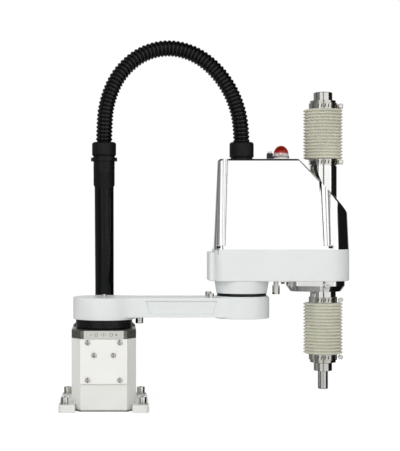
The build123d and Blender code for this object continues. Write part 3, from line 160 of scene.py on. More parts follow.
def hex_turned(profile: Profile, across_flats: float, steps: int) -> Array:
    """Surface of revolution whose second and third points follow a hexagon.

    Args:
        profile: (radius, height) pairs; the hexagon's inner radius stands at both those points.
        across_flats: the hexagon's width.
        steps: points round the axis.

    Returns:
        A grid of shape (profile points, steps, 3).
    """
    turn = np.linspace(0.0, TAU, steps, endpoint=False)
    ripple = np.zeros((len(profile), steps))
    ripple[1:3] = polygon_radius(across_flats, HEX_SIDES, turn) - 0.5 * across_flats
    return turned(profile, steps, ripple)


def block(low: Point, high: Point) -> Array:
    """Box between two corners.

    Args:
        low: lowest corner.
        high: highest corner.

    Returns:
        A grid of shape (4, 4, 3); its first and last ring shrink to a point.
    """
    outline = np.array([(high[0], low[1]), (high[0], high[1]), (low[0], high[1]), (low[0], low[1])])
    middle = np.repeat(outline.mean(0)[None], 4, axis=0)
    rings = [(middle, low[2]), (outline, low[2]), (outline, high[2]), (middle, high[2])]
    return np.stack([np.column_stack([ring, np.full(4, level)]) for ring, level in rings])


@dataclass
class Skin:
    """A mesh gathered from grids of points given in millimetres."""

    name: str
    grids: list[tuple[Array, bool]] = field(default_factory=list)

    def add(self, grid: Array, wrap: bool = True) -> "Skin":
        """Adds one grid; with wrap its rows are closed rings."""
        self.grids.append((grid, wrap))
        return self

    def piece(self, finish: "Finish", body: str, slot: str, crease: float = 35.0) -> Piece:
        """Makes the object, merges poles and seams, and turns the faces outwards.

        Args:
            finish: what it is made of.
            body: the CAD body that it rides on, or an empty name for none.
            slot: the record's material slot; not used.
            crease: edges sharper than this many degrees stay sharp.

        Returns:
            The finished object, in metres, at the origin.
        """
        points, quads, count = [], [], 0
        for grid, wrap in self.grids:
            rows, columns = grid.shape[:2]
            points.append(grid.reshape(-1, 3) * MM)
            quads.append(grid_quads(rows, columns, wrap) + count)
            count += rows * columns
        mesh = bpy.data.meshes.new(self.name)
        mesh.from_pydata(np.concatenate(points).tolist(), [], np.concatenate(quads).tolist())
        work = bmesh.new()
        work.from_mesh(mesh)
        bmesh.ops.remove_doubles(work, verts=work.verts, dist=2e-7)
        bmesh.ops.dissolve_degenerate(work, edges=work.edges, dist=1e-7)
        bmesh.ops.recalc_face_normals(work, faces=work.faces)
        work.to_mesh(mesh)
        work.free()
        mesh.shade_smooth()
        mesh.set_sharp_from_angle(angle=math.radians(crease))
        made = bpy.data.objects.new(self.name, mesh)
        bpy.context.scene.collection.objects.link(made)
        mesh.materials.append(finish.material())
        if body:
            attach(made, body)
        return made


# Finishes


def srgb(red: float, green: float, blue: float) -> Tint:
    """Linear colour of a screen colour given from 0 to 255."""
    parts = [c / 255.0 for c in (red, green, blue)]
    return tuple(c / 12.92 if c <= 0.04045 else ((c + 0.055) / 1.055) ** 2.4 for c in parts)


def shaded(tint: Tint, share: float) -> Tint:
    """The colour made lighter or darker by a share."""
    return tuple(min(1.0, c * share) for c in tint)


def step(tree: Tree, kind: str, first: Socket, second: Socket | float) -> Socket:
    """One step of arithmetic in a node tree.

    Args:
        tree: the tree that gets the node.
        kind: Blender's name of the operation.
        first: the first value.
        second: the second value, or a plain number.

    Returns:
        The result.
    """
    node = tree.nodes.new("ShaderNodeMath")
    node.operation = kind
    tree.links.new(first, node.inputs[0])
    if isinstance(second, float):
        node.inputs[1].default_value = second
    else:
        tree.links.new(second, node.inputs[1])
    return node.outputs[0]


def colour_ramp(tree: Tree, source: Socket, stops: Sequence[tuple[float, Tint]]) -> Socket:
    """Colour that follows a value.

    Args:
        tree: the tree that gets the node.
        source: the value, from 0 to 1.
        stops: places and their colours, in order.

    Returns:
        The colour.
    """
    node = tree.nodes.new("ShaderNodeValToRGB")
    elements = node.color_ramp.elements
    while len(elements) < len(stops):
        elements.new(0.5)
    for element, (place, tint) in zip(elements, stops):
        element.position = place
        element.color = (*tint, 1.0)
    tree.links.new(source, node.inputs["Fac"])
    return node.outputs["Color"]


class Palette:
    """Adds nodes to one new material, starting from its main shader."""

    def __init__(self, name: str) -> None:
        """Makes the material and reads object coordinates.

        Args:
            name: the material's name.
        """
        self.result = bpy.data.materials.new(name)
        self.result.use_nodes = True
        self.tree = self.result.node_tree
        self.shader = self.tree.nodes["Principled BSDF"]
        self.here = self.tree.nodes.new("ShaderNodeTexCoord").outputs["Object"]

    def constants(self, values: dict[str, object]) -> None:
        """Sets sockets of the main shader to values that are the same all over."""
        for name, value in values.items():
            self.shader.inputs[name].default_value = value

    def feed(self, source: Socket, target: Socket) -> None:
        """Joins two sockets."""
        self.tree.links.new(source, target)

    def noise(self, size: float, stretch: Point = (1.0, 1.0, 1.0), detail: float = 3.0) -> Socket:
        """Cloudy noise.

        Args:
            size: size of its spots in metres.
            stretch: how many times longer the spots are along each axis.
            detail: how many finer layers it has.

        Returns:
            The noise value from 0 to 1.
        """
        mapping = self.tree.nodes.new("ShaderNodeMapping")
        mapping.inputs["Scale"].default_value = [1.0 / s for s in stretch]
        self.feed(self.here, mapping.inputs["Vector"])
        node = self.tree.nodes.new("ShaderNodeTexNoise")
        node.inputs["Scale"].default_value = 1.0 / size
        node.inputs["Detail"].default_value = detail
        self.feed(mapping.outputs["Vector"], node.inputs["Vector"])
        return node.outputs["Fac"]

    def spread(
        self, source: Socket, low: float, high: float, window: tuple[float, float] = (0.3, 0.7),
    ) -> Socket:
        """Stretches a window of the source's values between two numbers.

        Args:
            source: the value to read.
            low: result at the window's start.
            high: result at the window's end.
            window: the source values that are stretched.

        Returns:
            The new value.
        """
        node = self.tree.nodes.new("ShaderNodeMapRange")
        ends = {"From Min": window[0], "From Max": window[1], "To Min": low, "To Max": high}
        for name, value in ends.items():
            node.inputs[name].default_value = value
        self.feed(source, node.inputs["Value"])
        return node.outputs["Result"]

    def blend(self, factor: Socket, first: Socket, second: Tint) -> Socket:
        """Mixes a colour with a plain one.

        Args:
            factor: the second colour's share.
            first: the colour to start from.
            second: the plain colour.

        Returns:
            The mixed colour.
        """
        node = self.tree.nodes.new("ShaderNodeMix")
        node.data_type = "RGBA"
        self.feed(factor, node.inputs["Factor"])
        self.feed(first, node.inputs[6])
        node.inputs[7].default_value = (*second, 1.0)
        return node.outputs[2]

    def axis_value(self, axis: str) -> Socket:
        """Object coordinate along one axis.

        Args:
            axis: X, Y or Z.

        Returns:
            The coordinate in metres.
        """
        node = self.tree.nodes.new("ShaderNodeSeparateXYZ")
        self.feed(self.here, node.inputs[0])
        return node.outputs[axis]

    def soft_normal(self, radius: float) -> Socket:
        """Normal that is rounded across edges.

        Args:
            radius: how far from an edge it starts to turn, in metres.

        Returns:
            The normal.
        """
        node = self.tree.nodes.new("ShaderNodeBevel")
        node.samples = 4
        node.inputs["Radius"].default_value = radius
        return node.outputs["Normal"]

    def edges(self, radius: float) -> Socket:
        """Value that rises near sharp edges, from the rounded and the true normal.

        Args:
            radius: how far from an edge it starts to rise, in metres.

        Returns:
            The value from 0 to 1.
        """
        normal = self.soft_normal(radius)
        true = self.tree.nodes.new("ShaderNodeNewGeometry").outputs["Normal"]
        node = self.tree.nodes.new("ShaderNodeVectorMath")
        node.operation = "DOT_PRODUCT"
        self.feed(normal, node.inputs[0])
        self.feed(true, node.inputs[1])
        return self.spread(node.outputs["Value"], 1.0, 0.0, (0.75, 0.99))

    def relief(self, height: Socket, depth: float, base: Socket | None = None) -> Socket:
        """Bump in the surface.

        Args:
            height: the value that is read as a height.
            depth: how deep it goes, in metres.
            base: the normal that it starts from, if not the plain one.

        Returns:
            The new normal.
        """
        node = self.tree.nodes.new("ShaderNodeBump")
        node.inputs["Distance"].default_value = depth
        node.inputs["Strength"].default_value = 1.0
        self.feed(height, node.inputs["Height"])
        if base is not None:
            self.feed(base, node.inputs["Normal"])
        return node.outputs["Normal"]


@dataclass(frozen=True)
class Finish:
    """A coated, moulded or machined surface with grain, drifting tone and worn edges."""

    name: str
    tint: Tint
    rough: float
    metal: float = 0.0
    drift: float = 0.05
    drift_size: float = 0.035
    rough_drift: float = 0.05
    grain_size: float = 0.0011
    grain_depth: float = 0.000012
    grain_stretch: Point = (1.0, 1.0, 1.0)
    edge_round: float = 0.0005
    worn: float = 0.0
    worn_tint: Tint = (0.55, 0.55, 0.53)
    level: float = 0.5

    @cache
    def material(self) -> bpy.types.Material:
        """Builds the node material once.

        Returns:
            The material, with tone, gloss and relief from noise in object coordinates.
        """
        make = Palette(self.name)
        make.constants({"Metallic": self.metal, "Specular IOR Level": self.level})
        cloud = make.noise(self.drift_size, detail=4.0)
        tones = [(0.3, shaded(self.tint, 1.0 - self.drift)), (0.7, shaded(self.tint, 1.0 + self.drift))]
        colour = colour_ramp(make.tree, cloud, tones)
        if self.worn:
            patchy = make.spread(make.noise(0.004), 0.0, self.worn)
            worn = step(make.tree, "MULTIPLY", make.edges(2.0 * self.edge_round), patchy)
            colour = make.blend(worn, colour, self.worn_tint)
        make.feed(colour, make.shader.inputs["Base Color"])
        gloss = make.noise(0.4 * self.drift_size, detail=5.0)
        low, high = self.rough - self.rough_drift, self.rough + self.rough_drift
        make.feed(make.spread(gloss, max(0.02, low), high), make.shader.inputs["Roughness"])
        grain = make.noise(self.grain_size, self.grain_stretch, 2.0)
        normal = make.relief(grain, self.grain_depth, make.soft_normal(self.edge_round))
        make.feed(normal, make.shader.inputs["Normal"])
        return make.result


@dataclass(frozen=True)
class LensFinish(Finish):
    """Clear plastic that turns from bare at the foot to coloured above it."""

    foot_z: float = 0.4
    top_z: float = 0.41
    foot_tint: Tint = (0.93, 0.93, 0.91)

    @cache
    def material(self) -> bpy.types.Material:
        """Builds the lens material: its colour follows height, and fine flutes scatter light."""
        make = Palette(self.name)
        make.constants({"Transmission Weight": 0.75, "IOR": 1.49})
        height = make.spread(make.axis_value("Z"), 0.0, 1.0, (self.foot_z, self.top_z))
        tones = [(0.35, self.foot_tint), (0.6, self.tint), (1.0, shaded(self.tint, 0.75))]
        colour = colour_ramp(make.tree, height, tones)
        make.feed(colour, make.shader.inputs["Base Color"])
        make.feed(make.spread(make.noise(0.003), self.rough, 2 * self.rough), make.shader.inputs["Roughness"])
        ribs = make.noise(0.0014, (1.0, 1.0, 12.0), 1.0)
        make.feed(make.relief(ribs, 0.0003), make.shader.inputs["Normal"])
        return make.result


@dataclass(frozen=True)
class BellowsFinish(Finish):
    """Thin milky elastomer: light passes through it a little and its folds hold dust."""

    dust_tint: Tint = (0.62, 0.6, 0.52)
    rough_window: tuple[float, float] = (0.42, 0.6)

    @cache
    def material(self) -> bpy.types.Material:
        """Builds the elastomer material with scattering and faint mould lines."""
        make = Palette(self.name)
        make.constants({
            "Subsurface Weight": 0.3, "Subsurface Scale": 0.003, "Subsurface Radius": (1.0, 0.95, 0.8),
            "Specular IOR Level": 0.3,
        })
        cloud = make.noise(0.02, (1.0, 1.0, 3.0), 4.0)
        tones = [(0.3, shaded(self.tint, 0.9)), (0.7, shaded(self.tint, 1.06))]
        colour = colour_ramp(make.tree, cloud, tones)
        dust = make.spread(make.noise(0.003, detail=4.0), 0.0, 0.08, (0.5, 0.75))
        make.feed(make.blend(dust, colour, self.dust_tint), make.shader.inputs["Base Color"])
        make.feed(make.spread(make.noise(0.006), *self.rough_window), make.shader.inputs["Roughness"])
        make.feed(make.relief(make.noise(0.004, (1.0, 1.0, 0.3)), 0.00004), make.shader.inputs["Normal"])
        return make.result


ALONG_X, ALONG_Z, ROUND = (12.0, 1.0, 1.0), (1.0, 1.0, 14.0), (10.0, 10.0, 1.0)


class Look(Enum):
    """The finishes of this robot, each named for what it is on."""

    ARM_PAINT = Finish("arm_paint", srgb(226, 229, 228), 0.42, drift=0.02, worn=0.1, grain_depth=0.00002)
    BASE_PAINT = Finish(
        "base_paint", srgb(228, 229, 224), 0.46, drift=0.025, worn=0.12, grain_depth=0.000025,
    )
    COVER_PAINT = Finish("cover_paint", srgb(240, 239, 235), 0.38, drift=0.015)
    HOOD_PLATING = Finish(
        "hood_plating", (0.96, 0.96, 0.955), 0.05, 1.0, drift=0.01, rough_drift=0.02,
        grain_size=0.02, grain_depth=0.00001, edge_round=0.0002,
    )
    PLATING = Finish(
        "plating", (0.9, 0.895, 0.87), 0.1, 1.0, drift=0.02, rough_drift=0.04,
        grain_size=0.0012, grain_depth=0.000004, grain_stretch=ROUND, edge_round=0.0003,
    )
    BAND_STEEL = Finish(
        "band_steel", srgb(210, 208, 200), 0.2, 1.0, grain_stretch=ROUND, grain_depth=0.000006,
    )
    GROUND_STEEL = Finish(
        "ground_steel", srgb(215, 214, 210), 0.16, 1.0,
        grain_size=0.0004, grain_depth=0.000003, grain_stretch=ROUND,
    )
    SCREW_STEEL = Finish(
        "screw_steel", srgb(222, 221, 216), 0.16, 1.0, drift=0.1, drift_size=0.006, edge_round=0.0003,
    )
    BLACK_SCREW = Finish("black_screw", srgb(40, 40, 42), 0.42, 0.6, drift_size=0.006, worn=0.3)
    BLACK_OXIDE = Finish(
        "black_oxide", srgb(22, 22, 26), 0.34, 0.5,
        grain_size=0.0005, grain_depth=0.00001, grain_stretch=ROUND, worn=0.2,
    )
    FLANGE_METAL = Finish(
        "flange_metal", srgb(128, 129, 120), 0.42, 0.85, drift=0.12, drift_size=0.012,
        grain_size=0.0006, grain_depth=0.00002, grain_stretch=ALONG_X, worn=0.35,
    )
    SCALE_METAL = Finish(
        "scale_metal", srgb(212, 213, 206), 0.4, 0.3, grain_stretch=ALONG_X, grain_depth=0.000006,
    )
    PLATE_METAL = Finish("plate_metal", srgb(176, 177, 175), 0.4, 0.8, grain_stretch=ALONG_X)
    MARK_INK = Finish("mark_ink", srgb(70, 70, 72), 0.5, drift=0.1, drift_size=0.003)
    BRACKET_METAL = Finish("bracket_metal", srgb(190, 192, 194), 0.38, 0.9, drift=0.08, grain_stretch=ALONG_X)
    MOTOR_PAINT = Finish("motor_paint", srgb(32, 33, 36), 0.45, drift=0.08, worn=0.2)
    GLOSS_PIPE = Finish(
        "gloss_pipe", srgb(10, 10, 11), 0.13, drift=0.12, rough_drift=0.03, grain_size=0.0012,
        grain_depth=0.000002, grain_stretch=ALONG_Z, level=0.3,
    )
    NUT_PLASTIC = Finish(
        "nut_plastic", srgb(16, 16, 18), 0.4, drift=0.1, grain_size=0.0005, grain_depth=0.00001, level=0.25,
    )
    HOSE_PLASTIC = Finish(
        "hose_plastic", srgb(9, 9, 10), 0.2, drift=0.15, drift_size=0.012, rough_drift=0.04, level=0.5,
    )
    SWITCH_PLASTIC = Finish("switch_plastic", srgb(26, 26, 28), 0.42, grain_size=0.0004)
    WHITE_PLASTIC = Finish("white_plastic", srgb(240, 240, 236), 0.35, drift=0.02)
    GASKET = Finish("gasket_rubber", srgb(52, 52, 52), 0.7, drift=0.1, drift_size=0.004)
    BELT = Finish("belt_rubber", srgb(30, 30, 31), 0.65, grain_size=0.0008, grain_depth=0.00005)
    FITTING = Finish("fitting_plastic", srgb(46, 80, 132), 0.35, drift_size=0.006)
    CONTACT = Finish("contact_gold", srgb(206, 170, 92), 0.3, 1.0, drift_size=0.003)
    LENS = LensFinish("lens_plastic", srgb(205, 45, 18), 0.06, foot_z=0.3985, top_z=0.411)
    REFLECTOR = Finish("lamp_reflector", (0.92, 0.92, 0.9), 0.14, 1.0, drift_size=0.004)
    BELLOWS = BellowsFinish("bellows_rubber", srgb(213, 211, 193), 0.5)


def dress(look: Look, *nodes: str) -> None:
    """Gives CAD nodes a finish in place of their plain material.

    Args:
        look: the finish.
        nodes: the nodes' names.
    """
    for name in nodes:
        for holder in frame["nodes"][name].material_slots:
            holder.material = look.value.material()


# Fasteners


@dataclass(frozen=True)
class CapScrew:
    """Head of a socket screw, by its sizes in millimetres."""

    radius: float
    height: float
    across: float
    depth: float
    edge: float = 0.5
    dome: bool = False
    dome_inset: float = 0.42
    dome_rise: float = 0.75

    def crown(self) -> Array:
        """Quarter ellipse from the side to the top: a rounded edge, or a dome.

        Returns:
            (radius, height) pairs from the side up.
        """
        bend = np.linspace(0.0, 0.5 * math.pi, 5)
        inset = self.dome_inset * self.radius if self.dome else self.edge
        rise = self.dome_rise * self.height if self.dome else self.edge
        sides = self.radius - inset * (1.0 - np.cos(bend))
        return np.column_stack([sides, self.height - rise * (1.0 - np.sin(bend))])

    def grid(self, seat: Point, axis: Point, steps: int = 48) -> Array:
        """Head from its seat up: side, edge or dome, recess wall and cone floor.

        Args:
            seat: the middle of the face that it stands on.
            axis: which way the head points.
            steps: points round it.

        Returns:
            A closed grid in the robot's frame.
        """
        turn = np.linspace(0.0, TAU, steps, endpoint=False)
        socket = polygon_radius(self.across, HEX_SIDES, turn)[:, None]
        ring = socket * np.column_stack([np.cos(turn), np.sin(turn)])
        head = turned([(0.0, 0.0), (self.radius, 0.0), *self.crown().tolist()], steps)
        wall = [
            np.column_stack([ring * size, np.full(steps, self.height - sunk * self.depth)])
            for size, sunk in ((1.08, 0.0), (1.0, 0.1), (1.0, 1.0), (0.0, 1.25))
        ]
        return aimed(np.concatenate([head, np.stack(wall)]), seat, axis)


Head = tuple[CapScrew, Point, Point]


def washer(outer: float, inner: float, thickness: float, seat: Point) -> Array:
    """Flat ring with broken edges on a level seat.

    Args:
        outer: outer radius.
        inner: inner radius.
        thickness: its height.
        seat: the middle of its lower face.

    Returns:
        A closed grid in the robot's frame.
    """
    e = 0.25 * thickness
    profile = [
        (inner, 0.0), (outer - e, 0.0), (outer, e), (outer, thickness - e), (outer - e, thickness),
        (inner, thickness), (inner, 0.0),
    ]
    return aimed(turned(profile, 48), seat, UP)


def screw_heads(name: str, heads: Sequence[Head], look: Look, body: str, slot: str) -> Piece:
    """One piece that holds several screw heads.

    Args:
        name: the piece's name.
        heads: each screw with its seat and the way that it points.
        look: their finish.
        body: the CAD body that they ride on.
        slot: the record's material slot.

    Returns:
        The piece.
    """
    skin = Skin(name)
    for screw, seat, axis in heads:
        skin.add(screw.grid(seat, axis))
    return skin.piece(look.value, body, slot, 30.0)


# Studio


@dataclass
class Studio:
    """Camera, lamps, world and floor; bearings are in degrees round Z from the camera's side."""

    eye: Point = (0.0178, -1.950, 0.2888)
    lens: float = 97.28
    sensor: float = 36.0
    shift: float = 0.188
    clip: tuple[float, float] = (0.05, 40.0)
    wall: Profile = (
        (-180, 1.0), (-166, 0.9), (-160, 0.35), (-140, 0.16), (-128, 0.34), (-112, 0.14), (-96, 0.4),
        (-78, 0.12), (-60, 0.3), (-46, 0.25), (-40, 0.95), (-9, 1.0), (-7, 0.04), (1, 0.04), (3, 1.0),
        (60, 1.0), (66, 0.008), (138, 0.006), (146, 0.2), (168, 0.8), (180, 1.0),
    )
    wall_power: float = 1.06
    rise: Profile = ((0.0, 0.6), (0.48, 0.75), (0.5, 1.0), (0.8, 1.0), (0.88, 0.05), (1.0, 0.03))
    strips: tuple[float, float] = (-37.0, 57.0)
    strip_half: float = 1.2
    strip_power: float = 1.0
    even_tint: Tint = (0.97, 0.985, 1.0)
    even_power: float = 0.62
    floor_half: float = 6.0
    floor_low: float = -0.0003
    floor_glow: float = 0.7

    def camera(self) -> None:
        """Level camera at the photograph's place; only its frame is shifted sideways."""
        data = bpy.data.cameras.new("studio_camera")
        data.lens, data.sensor_width, data.shift_x = self.lens, self.sensor, self.shift
        data.clip_start, data.clip_end = self.clip
        made = bpy.data.objects.new("studio_camera", data)
        made.location, made.rotation_euler = self.eye, (0.5 * math.pi, 0.0, 0.0)
        bpy.context.scene.collection.objects.link(made)
        bpy.context.scene.camera = made
        bpy.context.scene.view_settings.view_transform = "Standard"

    def lamp(self, name: str, place: Point, aim: Point, size: float, power: float) -> None:
        """Soft square lamp that mirrors don't show.

        Args:
            name: the lamp's name.
            place: where it stands in metres.
            aim: the point that it lights.
            size: its side in metres.
            power: its strength in watts.
        """
        data = bpy.data.lights.new(name, "AREA")
        data.size, data.energy = size, power
        made = bpy.data.objects.new(name, data)
        made.location = place
        towards = np.asarray(aim) - np.asarray(place)
        yaw = math.atan2(towards[1], towards[0]) - 0.5 * math.pi
        pitch = math.atan2(math.hypot(towards[0], towards[1]), -towards[2])
        made.rotation_euler = (pitch, 0.0, yaw)
        made.visible_glossy = False
        bpy.context.scene.collection.objects.link(made)

    def world(self) -> None:
        """White to the camera; to mirrors a studio: white in front with a narrow dark gap
        and two strips that are brighter, black at the right, grey strips at the left, dark
        overhead; even light otherwise. The bearing is the arctangent of x over minus y.
        """
        made = bpy.data.worlds.new("studio_world")
        bpy.context.scene.world = made
        made.use_nodes = True
        tree = made.node_tree
        tree.nodes.clear()
        new, link = tree.nodes.new, tree.links.new
        ray = new("ShaderNodeLightPath")
        split = new("ShaderNodeSeparateXYZ")
        link(new("ShaderNodeTexCoord").outputs["Generated"], split.inputs[0])

        reckon = partial(step, tree)
        bearing = reckon("ARCTAN2", split.outputs["X"], reckon("MULTIPLY", split.outputs["Y"], -1.0))
        turn = reckon("ADD", reckon("DIVIDE", bearing, TAU), 0.5)
        stops = [((angle + 180.0) / 360.0, (tone,) * 3) for angle, tone in self.wall]
        round_wall = colour_ramp(tree, turn, stops)
        height = reckon("ADD", reckon("MULTIPLY", split.outputs["Z"], 0.5), 0.5)
        rise = colour_ramp(tree, height, [(place, (tone,) * 3) for place, tone in self.rise])
        mirror = new("ShaderNodeMix")
        mirror.data_type, mirror.blend_type = "RGBA", "MULTIPLY"
        mirror.inputs["Factor"].default_value = 1.0
        link(round_wall, mirror.inputs[6])
        link(rise, mirror.inputs[7])
        even = new("ShaderNodeBackground")
        even.inputs["Color"].default_value = (*self.even_tint, 1.0)
        even.inputs["Strength"].default_value = self.even_power
        shiny = new("ShaderNodeBackground")
        link(mirror.outputs[2], shiny.inputs["Color"])
        strips = []
        for angle in self.strips:
            apart = reckon("ABSOLUTE", reckon("SUBTRACT", turn, (angle + 180.0) / 360.0), 0.0)
            strips.append(reckon("LESS_THAN", apart, self.strip_half / 360.0))
        both = reckon("MULTIPLY", reckon("ADD", *strips), self.strip_power)
        link(reckon("ADD", both, self.wall_power), shiny.inputs["Strength"])
        white = new("ShaderNodeBackground")
        white.inputs["Color"].default_value = (1.0, 1.0, 1.0, 1.0)
        first, second = new("ShaderNodeMixShader"), new("ShaderNodeMixShader")
        link(ray.outputs["Is Glossy Ray"], first.inputs[0])
        link(even.outputs[0], first.inputs[1])
        link(shiny.outputs[0], first.inputs[2])
        seen = reckon("MAXIMUM", ray.outputs["Is Camera Ray"], ray.outputs["Is Transmission Ray"])
        link(seen, second.inputs[0])
        link(first.outputs[0], second.inputs[1])
        link(white.outputs[0], second.inputs[2])
        link(second.outputs[0], new("ShaderNodeOutputWorld").inputs[0])

    def floor(self) -> None:
        """Plain pale floor just under z 0, which keeps the robot's shadow and isn't mirrored."""
        half = self.floor_half / MM
        line = np.linspace(-half, half, 3)
        flat = np.stack(np.meshgrid(line, line), axis=-1)
        grid = np.dstack([flat, np.full(flat.shape[:2], self.floor_low / MM)])
        mesh = bpy.data.meshes.new("studio_floor")
        mesh.from_pydata((grid.reshape(-1, 3) * MM).tolist(), [], grid_quads(3, 3, False).tolist())
        made = bpy.data.objects.new("studio_floor", mesh)
        bpy.context.scene.collection.objects.link(made)
        material = bpy.data.materials.new("floor_paint")
        material.use_nodes = True
        tree = material.node_tree
        tree.nodes.clear()
        new, link = tree.nodes.new, tree.links.new
        matt, glow = new("ShaderNodeBsdfDiffuse"), new("ShaderNodeEmission")
        matt.inputs["Color"].default_value = (0.5, 0.5, 0.5, 1.0)
        glow.inputs["Strength"].default_value = self.floor_glow
        both = new("ShaderNodeAddShader")
        link(matt.outputs[0], both.inputs[0])
        link(glow.outputs[0], both.inputs[1])
        plain = new("ShaderNodeBsdfDiffuse")
        plain.inputs["Color"].default_value = (0.8, 0.79, 0.76, 1.0)
        ray, pick = new("ShaderNodeLightPath"), new("ShaderNodeMixShader")
        link(ray.outputs["Is Camera Ray"], pick.inputs[0])
        link(plain.outputs[0], pick.inputs[1])
        link(both.outputs[0], pick.inputs[2])
        mirrored = new("ShaderNodeMixShader")
        link(ray.outputs["Is Glossy Ray"], mirrored.inputs[0])
        link(pick.outputs[0], mirrored.inputs[1])
        link(new("ShaderNodeBsdfTransparent").outputs[0], mirrored.inputs[2])
        link(mirrored.outputs[0], new("ShaderNodeOutputMaterial").inputs[0])
        mesh.materials.append(material)

    def build(self) -> None:
        """Sets up the whole studio."""
        self.camera()
        self.world()
        self.floor()
        self.lamp("key_lamp", (-0.9, -2.1, 1.3), (0.15, 0.0, 0.3), 1.6, 24.0)
        self.lamp("fill_lamp", (1.2, -2.2, 0.7), (0.2, 0.0, 0.3), 1.4, 9.0)


# Hose and duct


@dataclass
class GuideHose:
    """Corrugated hose in an arch between the duct and the second arm."""

    crest: float = 13.25
    root: float = 11.2
    wall: float = 1.2
    pitch: float = 6.3
    samples: int = 12
    steps: int = 40
    route: Sequence[tuple[float, float]] = (
        (0.0, 408.0), (0.0, 441.0), (3.5, 486.0), (22.5, 531.0), (57.0, 562.5), (96.5, 574.0), (134.5, 568.5),
        (168.5, 548.5), (195.5, 517.0), (213.0, 480.0), (220.0, 440.0), (220.0, 405.0),
    )

    def centreline(self) -> Array:
        """Points of the smooth spline that has the route as its control points.

        Returns:
            Points in metres, in order from the duct to the second arm.
        """
        curve = bpy.data.curves.new("hose_route", "CURVE")
        curve.dimensions = "3D"
        curve.resolution_u = 48
        spline = curve.splines.new("NURBS")
        spline.points.add(len(self.route) - 1)
        held = np.ones((len(self.route), 4))
        held[:, [0, 2]] = np.asarray(self.route) * MM
        held[:, 1] = 0.0
        spline.points.foreach_set("co", held.ravel())
        spline.order_u = 3
        spline.use_endpoint_u = True
        holder = bpy.data.objects.new("hose_route", curve)
        mesh = bpy.data.meshes.new_from_object(holder)
        points = np.zeros(len(mesh.vertices) * 3)
        mesh.vertices.foreach_get("co", points)
        bpy.data.objects.remove(holder)
        bpy.data.curves.remove(curve)
        bpy.data.meshes.remove(mesh)
        return points.reshape(-1, 3)

    def build(self) -> None:
        """Sweeps the ribs: radius = root + (crest - root) * (half of 1 + cos)**0.6 of
        the length over the pitch, then the plain inner wall back to the start.
        """
        line = self.centreline() / MM
        steps = np.linalg.norm(np.diff(line, axis=0), axis=1)
        along = np.concatenate([[0.0], np.cumsum(steps)])
        length = float(along[-1])
        ribs = round(length / self.pitch)
        place = np.linspace(0.0, length, ribs * self.samples + 1)
        centre = np.column_stack([np.interp(place, along, line[:, k]) for k in range(3)])
        tangent = np.gradient(centre, axis=0)
        tangent /= np.linalg.norm(tangent, axis=1)[:, None]
        across = np.cross(tangent, np.array(Y))
        wave = 0.5 + 0.5 * np.cos(TAU * ribs * place / length)
        radius = self.root + (self.crest - self.root) * wave ** 0.6
        turn = np.linspace(0.0, TAU, self.steps, endpoint=False)[None, :, None]
        ring = across[:, None, :] * np.cos(turn) + np.array(Y) * np.sin(turn)
        rows = []
        for sizes, order in ((radius, slice(None)), (radius - self.wall, slice(None, None, -1))):
            rows.append((centre[:, None, :] + sizes[:, None, None] * ring)[order])
        grid = np.concatenate([*rows, rows[0][:1]])
        made = Skin("guide_hose_ribs").add(grid).piece(Look.HOSE_PLASTIC.value, "arm1", "hose_plastic", 70.0)
        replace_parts(made, "guide_hose")


@dataclass
class HoseNut:
    """Nut at an end of the hose, with shallow upright flutes round it."""

    name: str
    node: str
    body: str
    x: float
    low: float
    high: float
    radius: float = 19.3
    neck: float = 17.3
    bore: float = 13.4
    mouth: float = 11.5
    seat: float = 2.5
    step: float = 3.0
    flutes: int = 28
    flute_depth: float = 0.35

    def build(self) -> None:
        """Turns the nut; its radius falls by the depth times |cos|**6 of the angle."""
        steps = self.flutes * 8
        low, foot, high, side = self.low, self.low + self.step, self.high, self.radius
        profile = [
            (self.mouth, low), (self.neck, low), (self.neck, foot - 0.2), (self.neck + 0.3, foot),
            (side - 1.4, foot + 0.2), (side, foot + 1.6), (side, high - 3.0), (side - 0.8, high - 1.2),
            (side - 2.2, high - 0.3), (side - 3.2, high), (self.bore, high), (self.bore, high - self.seat),
            (self.mouth, high - self.seat), (self.mouth, low),
        ]
        turn = np.linspace(0.0, TAU, steps, endpoint=False)
        ripple = np.zeros((len(profile), steps))
        ripple[5:8] = -self.flute_depth * np.abs(np.cos(0.5 * self.flutes * turn)) ** 6
        made = Skin(self.name).add(aimed(turned(profile, steps, ripple), (self.x, 0.0, 0.0), UP))
        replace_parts(made.piece(Look.NUT_PLASTIC.value, self.body, "black_plastic", 40.0), self.node)


@dataclass
class DuctLine:
    """Stiff pipe, its collar on the base and the elbow under the hose."""

    clip_z: float = 380.0
    bead: Profile = ((16.9, 0.0), (17.35, 0.3), (17.35, 1.1), (16.9, 1.4), (16.9, 0.0))

    def build(self) -> None:
        """Dresses the duct and adds the elbow's shallow bead."""
        dress(Look.GLOSS_PIPE, "duct_pipe")
        dress(Look.NUT_PLASTIC, "pipe_socket", "pipe_adapter")
        skin = Skin("elbow_bead").add(aimed(turned(self.bead, 72), (0.0, 0.0, self.clip_z), UP))
        skin.piece(Look.NUT_PLASTIC.value, "base", "black_plastic")


# Base


